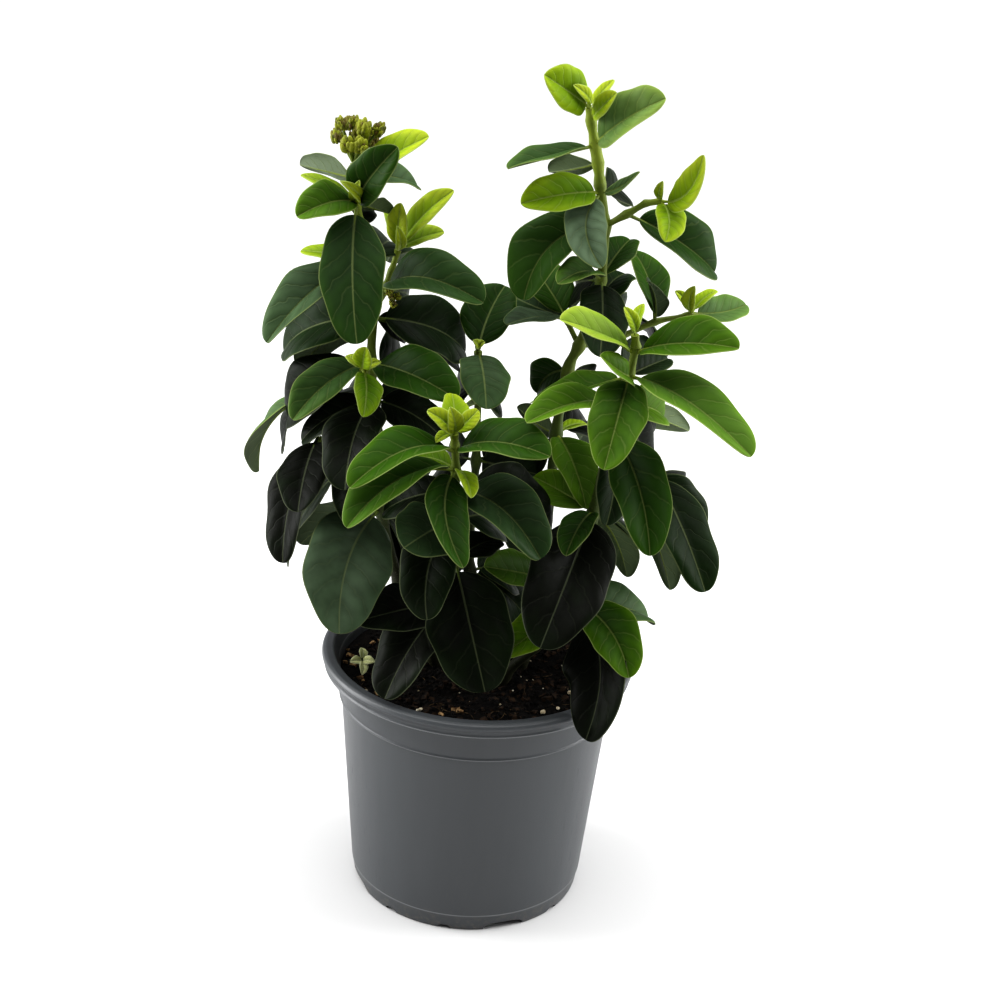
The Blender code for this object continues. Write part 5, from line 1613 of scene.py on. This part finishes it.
@dataclass(frozen=True)
class Pot:
    """The moulded nursery pot: a turned shell with a lip, arches in its foot ring and drain holes.

    Sizes are in mm, and an arch is its width in degrees and its height in mm.
    """

    plastic: bpy.types.Material
    sides: int = 160
    lip_radius: float = 85.0
    height: float = 140.0
    lip_inner_radius: float = 78.2
    lip_under_height: float = 131.5
    band_top_radius: float = 76.6
    band_foot_radius: float = 74.6
    step_radius: float = 73.6
    step_height: float = 112.4
    wall_foot_radius: float = 64.8
    wall_foot_height: float = 10.0
    foot_radius: float = 62.4
    wall: float = 1.7
    floor_under: float = 3.2
    floor_top: float = 5.2
    foot_ring_width: float = 3.4
    arch_count: int = 12
    first_arch: float = -68.0
    small_arch: tuple[float, float] = (6.5, 2.6)
    wide_arch: tuple[float, float] = (21.0, 4.6)
    drain_holes: int = 3
    drain_radius: float = 4.0
    drain_circle: float = 44.0
    drain_sides: int = 32
    rounding: float = 0.55
    overcut: float = 2.0
    sharp_angle: float = 34.0

    def inside(self, shrink: float) -> list[tuple[float, float]]:
        """The inside from floor to band, taken in by shrink."""
        return [(self.wall_foot_radius - self.wall - 0.6 - shrink, self.floor_top + shrink),
                (self.wall_foot_radius - self.wall - shrink, self.wall_foot_height),
                (self.step_radius - self.wall - shrink, self.step_height),
                (self.band_foot_radius - self.wall - shrink, self.step_height + 1.2)]

    def outline(self) -> list[tuple[float, float]]:
        """The shell's section from the middle of its underside round to the middle of its floor."""
        ring = self.foot_radius - self.foot_ring_width
        outside = [(ring, self.floor_under), (ring, 0.0), (self.foot_radius, 0.0),
                   (self.foot_radius + 0.9, 2.0),
                   (self.wall_foot_radius - 0.5, self.wall_foot_height - 1.6),
                   (self.wall_foot_radius, self.wall_foot_height),
                   (self.step_radius, self.step_height),
                   (self.band_foot_radius + 0.45, self.step_height + 0.8),
                   (self.band_foot_radius + 0.45, self.step_height + 1.5),
                   (self.band_foot_radius, self.step_height + 2.3),
                   (self.band_top_radius, self.lip_under_height - 1.8),
                   (self.lip_radius - 1.6, self.lip_under_height + 0.2),
                   (self.lip_radius - 1.2, self.lip_under_height + 0.8),
                   (self.lip_radius - 2.0, self.lip_under_height + 1.8),
                   (self.lip_radius - 1.3, self.height - 4.6),
                   (self.lip_radius - 0.2, self.height - 3.4),
                   (self.lip_radius, self.height - 2.6),
                   (self.lip_radius - 0.7, self.height - 0.9),
                   (self.lip_radius - 2.4, self.height),
                   (self.lip_inner_radius + 0.8, self.height),
                   (self.lip_inner_radius, self.height - 0.8),
                   (self.band_top_radius - self.wall, self.lip_under_height - 1.0)]
        section = [(0.0, self.floor_under)] + outside + list(reversed(self.inside(0.0)))
        return rounded(section + [(0.0, self.floor_top)], self.rounding)

    def arch(self, angle: float, width: float, top: float) -> Solid:
        """A block that cuts an arch with a rounded top out of the foot ring.

        Args:
            angle: where it is, in degrees.
            width: its width in degrees.
            top: its height in mm.

        Returns:
            Vertices and faces.
        """
        steps = 8
        inner = self.foot_radius - self.foot_ring_width - 1.5
        outer = self.wall_foot_radius + self.overcut
        vertices = []
        for step in range(steps + 1):
            share = -1.0 + 2.0 * step / steps
            turn = math.radians(angle + width / 2.0 * share)
            crown = top * math.sqrt(max(0.0, 1.0 - (abs(share) ** 3) * 0.85))
            for radius in (inner, outer):
                for height in (-1.0, crown):
                    vertices.append((radius * math.cos(turn), radius * math.sin(turn), height))
        faces = [(2, 3, 1, 0)]
        for a in range(0, 4 * steps, 4):
            b = a + 4
            faces += [(a + 1, b + 1, b, a), (b + 2, b + 3, a + 3, a + 2),
                      (b, b + 2, a + 2, a), (a + 3, b + 3, b + 1, a + 1)]
        end = 4 * steps
        return vertices, faces + [(end + 1, end + 3, end + 2, end)]

    def build(self) -> bpy.types.Object:
        """Turn the shell and cut its openings.

        Returns:
            The piece.
        """
        shell = linked("pot_shell", turned(self.outline(), self.sides))
        cutters = bpy.data.collections.new("pot_cutters")
        bpy.context.scene.collection.children.link(cutters)
        for i in range(self.arch_count):
            width, height = self.wide_arch if i % 3 == 0 else self.small_arch
            turn = self.first_arch + i * 360.0 / self.arch_count
            linked("arch_cutter", self.arch(turn, width, height), cutters)
        for i in range(self.drain_holes):
            angle = 2.0 * math.pi * (i + 0.5) / self.drain_holes
            low, high = self.floor_under - self.overcut, self.floor_top + self.overcut
            points, faces = turned([(0.0, low), (self.drain_radius, low), (self.drain_radius, high),
                                    (0.0, high)], self.drain_sides)
            centre = Vector((math.cos(angle), math.sin(angle), 0.0)) * self.drain_circle
            linked("hole_cutter", ([Vector(p) + centre for p in points], faces), cutters)
        modifier = shell.modifiers.new("openings", "BOOLEAN")
        modifier.operation = "DIFFERENCE"
        modifier.operand_type = "COLLECTION"
        modifier.collection = cutters
        modifier.solver = "EXACT"
        evaluated = shell.evaluated_get(bpy.context.evaluated_depsgraph_get())
        mesh = bpy.data.meshes.new_from_object(evaluated)
        shell.modifiers.clear()
        shell.data = mesh
        mesh.name = shell.name
        for tool in list(cutters.objects):
            bpy.data.objects.remove(tool, do_unlink=True)
        bpy.data.collections.remove(cutters)
        mesh.materials.clear()
        mesh.materials.append(self.plastic)
        mesh.shade_smooth()
        mesh.set_sharp_from_angle(angle=math.radians(self.sharp_angle))
        return seat(shell, "pot", "pot")


class Grain(Enum):
    """What a scatter on the potting mix is made of."""

    CRUMB = "crumb"
    CHIP = "chip"
    FIBRE = "fibre"


@dataclass(frozen=True)
class Scatter:
    """One kind of bit on top of the potting mix.

    density is bits for each square metre, sizes are the least and the most in mm, and squash is the
    height as a share of the width.
    """

    name: str
    grain: Grain
    finish: CrumbFinish
    density: float
    sizes: tuple[float, float]
    squash: float
    seed: int
    tilt: float = 0.5

    def shape(self, graph: ShapeGraph) -> Term:
        """One bit, about one unit across."""
        if self.grain is Grain.FIBRE:
            arc = graph.node("GeometryNodeCurveQuadraticBezier", {}, {
                "Resolution": 5, "Start": (-0.5, 0.0, 0.0), "Middle": (0.0, 0.28, 0.12),
                "End": (0.5, 0.0, 0.0)})
            ring = graph.node("GeometryNodeCurvePrimitiveCircle", {}, {"Resolution": 5, "Radius": 0.03})
            return graph.node("GeometryNodeCurveToMesh", {}, {
                "Curve": arc, "Profile Curve": ring, "Fill Caps": True})
        if self.grain is Grain.CHIP:
            return graph.node("GeometryNodeMeshCube", {}, {
                "Size": (1.0, 0.55, 1.0), "Vertices X": 4, "Vertices Y": 3, "Vertices Z": 2})
        return graph.node("GeometryNodeMeshIcoSphere", {}, {"Radius": 0.5, "Subdivisions": 2})

    def build(self, top: Solid, places: Sequence[Vector] = ()) -> bpy.types.Object:
        """Scatter the bits over the mix, or set one at each place.

        Args:
            top: the surface that they lie on.
            places: places in mm, instead of a scatter.

        Returns:
            The piece.
        """
        low, high = self.sizes
        graph = ShapeGraph(self.name, {
            "Density": self.density, "Least": low * MM, "Most": high * MM, "Seed": self.seed,
            "Finish": bpy.data.materials.get(self.finish.name) or self.finish.material()})
        if places:
            spots = graph.given("Geometry")
            piece = carrier(self.name, places, (), {})
        else:
            spots = graph.node("GeometryNodeDistributePointsOnFaces", {}, {
                "Mesh": graph.given("Geometry"), "Density": graph.given("Density"),
                "Seed": graph.given("Seed")})
            piece = carrier(self.name, top[0], (), {}, top[1])
        turn = graph.node("FunctionNodeRandomValue", {"data_type": "FLOAT_VECTOR"}, {
            0: (-self.tilt, -self.tilt, 0.0), 1: (self.tilt, self.tilt, math.tau),
            "Seed": graph.given("Seed")})
        size = graph.node("FunctionNodeRandomValue", {"data_type": "FLOAT"}, {
            2: graph.given("Least"), 3: graph.given("Most"), "Seed": self.seed + 1}, 1)
        flat = (1.0, 1.0, 1.0 if self.grain is Grain.FIBRE else self.squash)
        bits = graph.copied(spots, self.shape(graph), Rotation=turn, Scale=flat * size)
        place = graph.node("GeometryNodeInputPosition")
        rough = graph.node("ShaderNodeTexNoise", {}, {
            "Vector": place, "Scale": 900.0 / high, "Detail": 2.0}, "Color")
        shift = (rough - (0.5, 0.5, 0.5)) * (0.55 * high * MM)
        if self.grain is not Grain.FIBRE:
            bits = graph.moved(bits, Offset=shift)
        graph.end(graph.coated(graph.sharpened(bits, 0.7), "Finish"))
        return seat(graph.applied(piece, ()), "soil", "soil")


@dataclass(frozen=True)
class Soil:
    """The potting mix: a mounded top with crumbs, bark, fibres and perlite on it. Sizes in mm."""

    pot: Pot
    mix: bpy.types.Material
    level: float = 127.0
    relief: float = 1.3
    lumps: float = 1.1
    sides: int = 144
    rings: int = 44
    margin: float = 2.2
    lump_rate: float = 0.11
    crumb_depth: float = 0.8
    fleck_lift: float = 0.6

    def height(self, x: float, y: float, limit: float) -> float:
        """The top's height at a place."""
        share = min(1.0, math.hypot(x, y) / limit)
        mounds = math.sin(x * 0.11 + 0.6) * math.cos(y * 0.13 - 0.4) + 0.6 * math.sin((x + y) * 0.19)
        lumps = noise.fractal(Vector((x, y, 0.0)) * self.lump_rate, 0.6, 2.2, 5)
        return self.level + (self.relief * mounds + self.lumps * lumps) * (1.0 - share ** 6)

    def build(self) -> None:
        """Build the mix and what lies on it."""
        side = self.pot.inside(GAP)
        share = (self.level - side[-1][1]) / (self.pot.lip_under_height - 1.0 - side[-1][1])
        limit = side[-1][0] + (self.pot.band_top_radius - self.pot.band_foot_radius) * share
        profile = [(0.0, self.pot.floor_top + GAP)] + side + [(limit, self.level)]
        profile += [(limit * ring / self.rings, self.level) for ring in range(self.rings - 1, 0, -1)]
        points, faces = turned(profile + [(0.0, self.level)], self.sides)
        raised = [(x, y, self.height(x, y, limit) if z == self.level else z) for x, y, z in points]
        body = linked("potting_mix", (raised, faces))
        body.data.materials.append(self.mix)
        body.data.shade_smooth()
        seat(body, "soil", "soil")
        inner = limit - self.margin
        used = [face for face in faces
                if all(points[k][2] == self.level and math.hypot(*points[k][:2]) <= inner for k in face)]
        self.litter((raised, used), limit)

    def spots(self, pixels: Sequence[Pixel], limit: float) -> list[Vector]:
        """The places on the mix that lie under pixels of the photo."""
        places = []
        for pixel in pixels:
            ray = VIEW.ray(pixel)
            spot = VIEW.eye + ray * ((self.level + self.crumb_depth - VIEW.eye.z) / ray.z)
            places.append(Vector((spot.x, spot.y, self.height(spot.x, spot.y, limit) + self.fleck_lift)))
        return places

    def litter(self, top: Solid, limit: float) -> None:
        """Lay crumbs, bark, fibres and flecks on the mix.

        Args:
            top: the mix's upper surface.
            limit: the radius where the top meets the wall.
        """
        brown = CrumbFinish("bark_bits", (0.004, 0.003, 0.0024), (0.034, 0.019, 0.010), 300.0)
        black = CrumbFinish("dark_crumbs", (0.0015, 0.0013, 0.0012), (0.0075, 0.0055, 0.0042), 500.0)
        straw = CrumbFinish("root_fibre", (0.018, 0.011, 0.006), (0.110, 0.075, 0.040), 400.0)
        pale = CrumbFinish("perlite", (0.520, 0.420, 0.260), (0.720, 0.660, 0.520), 500.0, 0.75)
        Scatter("soil_crumbs", Grain.CRUMB, black, 90000.0, (0.9, 3.2), 0.75, 3).build(top)
        Scatter("soil_bark", Grain.CHIP, brown, 34000.0, (1.6, 5.6), 0.30, 5).build(top)
        Scatter("soil_fibres", Grain.FIBRE, straw, 9000.0, (3.0, 9.0), 1.0, 8, 0.25).build(top)
        Scatter("soil_perlite", Grain.CRUMB, pale, 1500.0, (0.5, 1.3), 0.7, 12).build(top)
        tan = CrumbFinish("tan_bark", (0.080, 0.042, 0.018), (0.420, 0.270, 0.130), 330.0)
        Scatter("white_flecks", Grain.CRUMB, pale, 0.0, (0.7, 1.4), 0.75, 17).build(
            top, self.spots(WHITE_FLECKS, limit))
        Scatter("cream_bits", Grain.CRUMB, pale, 0.0, (1.6, 3.0), 0.6, 19).build(
            top, self.spots(CREAM_BITS, limit))
        Scatter("tan_bits", Grain.CHIP, tan, 0.0, (2.4, 4.6), 0.4, 23).build(
            top, self.spots(TAN_BITS, limit))


# The studio


@dataclass(frozen=True)
class Studio:
    """A plain pale floor, soft white light from above and both sides, and the camera.

    sensor is in mm, floor_half, far and soft_box are in metres, and sun_width is in degrees.
    """

    sensor: float = 36.0
    far: float = 120.0
    floor_half: float = 40.0
    world: float = 0.20
    sun: float = 4.9
    sun_width: float = 80.0
    soft_box: tuple[float, float] = (0.8, 1.3)

    def camera(self) -> None:
        """Set the camera where the front view was fitted."""
        data = bpy.data.cameras.new("camera")
        data.lens = self.sensor * VIEW_FOCAL / PHOTO_WIDTH
        data.sensor_width = self.sensor
        data.clip_end = self.far
        item = bpy.data.objects.new("camera", data)
        bpy.context.scene.collection.objects.link(item)
        turn = Matrix((VIEW.right, VIEW.up, -VIEW.forward)).transposed().to_4x4()
        item.matrix_world = Matrix.Translation(VIEW.eye * MM) @ turn
        bpy.context.scene.camera = item

    def lamp(self, name: str, place: tuple[float, float, float], power: float,
             aim: tuple[float, float, float] = (0.0, 0.0, 0.22)) -> None:
        """One soft box."""
        data = bpy.data.lights.new(name, "AREA")
        data.shape = "RECTANGLE"
        data.size, data.size_y = self.soft_box
        data.energy = power
        item = bpy.data.objects.new(name, data)
        bpy.context.scene.collection.objects.link(item)
        item.location = place
        item.rotation_euler = (Vector(aim) - Vector(place)).to_track_quat("-Z", "Y").to_euler()

    def build(self) -> None:
        """Lay the floor and set the light."""
        edge = self.floor_half
        corners = [(x / MM, y / MM, 0.0) for x, y in ((-edge, -edge), (edge, -edge), (edge, edge),
                                                      (-edge, edge))]
        floor = linked("floor", (corners, [(0, 1, 2, 3)]))
        floor.data.materials.append(FloorFinish().material())
        world = bpy.data.worlds.new("studio")
        bpy.context.scene.world = world
        world.use_nodes = True
        sky = world.node_tree.nodes["Background"]
        sky.inputs["Color"].default_value = (1.0, 1.0, 1.0, 1.0)
        sky.inputs["Strength"].default_value = self.world
        sun = bpy.data.lights.new("overhead", "SUN")
        sun.energy = self.sun
        sun.angle = math.radians(self.sun_width)
        above = bpy.data.objects.new("overhead", sun)
        bpy.context.scene.collection.objects.link(above)
        self.lamp("left", (-1.3, 0.1, 0.55), 30.0)
        self.lamp("right", (1.3, 0.2, 0.55), 27.0)
        bpy.context.scene.view_settings.view_transform = "Standard"
        bpy.context.scene.view_settings.look = "Medium High Contrast"
        self.camera()


def main() -> None:
    """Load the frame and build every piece."""
    logging.basicConfig(level=logging.INFO, format="%(message)s")
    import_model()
    Studio().build()
    foliage = Foliage(LeafUpperFinish().material(), LeafUnderFinish().material())
    pale = LeafUpperFinish("seedling_leaf", lime=(0.300, 0.340, 0.120), tip=(0.520, 0.540, 0.260),
                           fresh_line=(0.6, 0.62, 0.4))
    pale_under = LeafUnderFinish("seedling_under", fresh=(0.400, 0.420, 0.200))
    shrub = Shrub(foliage, Shoots(ShootFinish().material()), FlowerBuds(BudFinish().material()),
                  Foliage(pale.material(), pale_under.material(), columns=9, rows=16))
    pot = Pot(PotFinish().material())
    shrub.build()
    pot.build()
    Soil(pot, SoilFinish().material()).build()


if __name__ == "__main__":
    main()
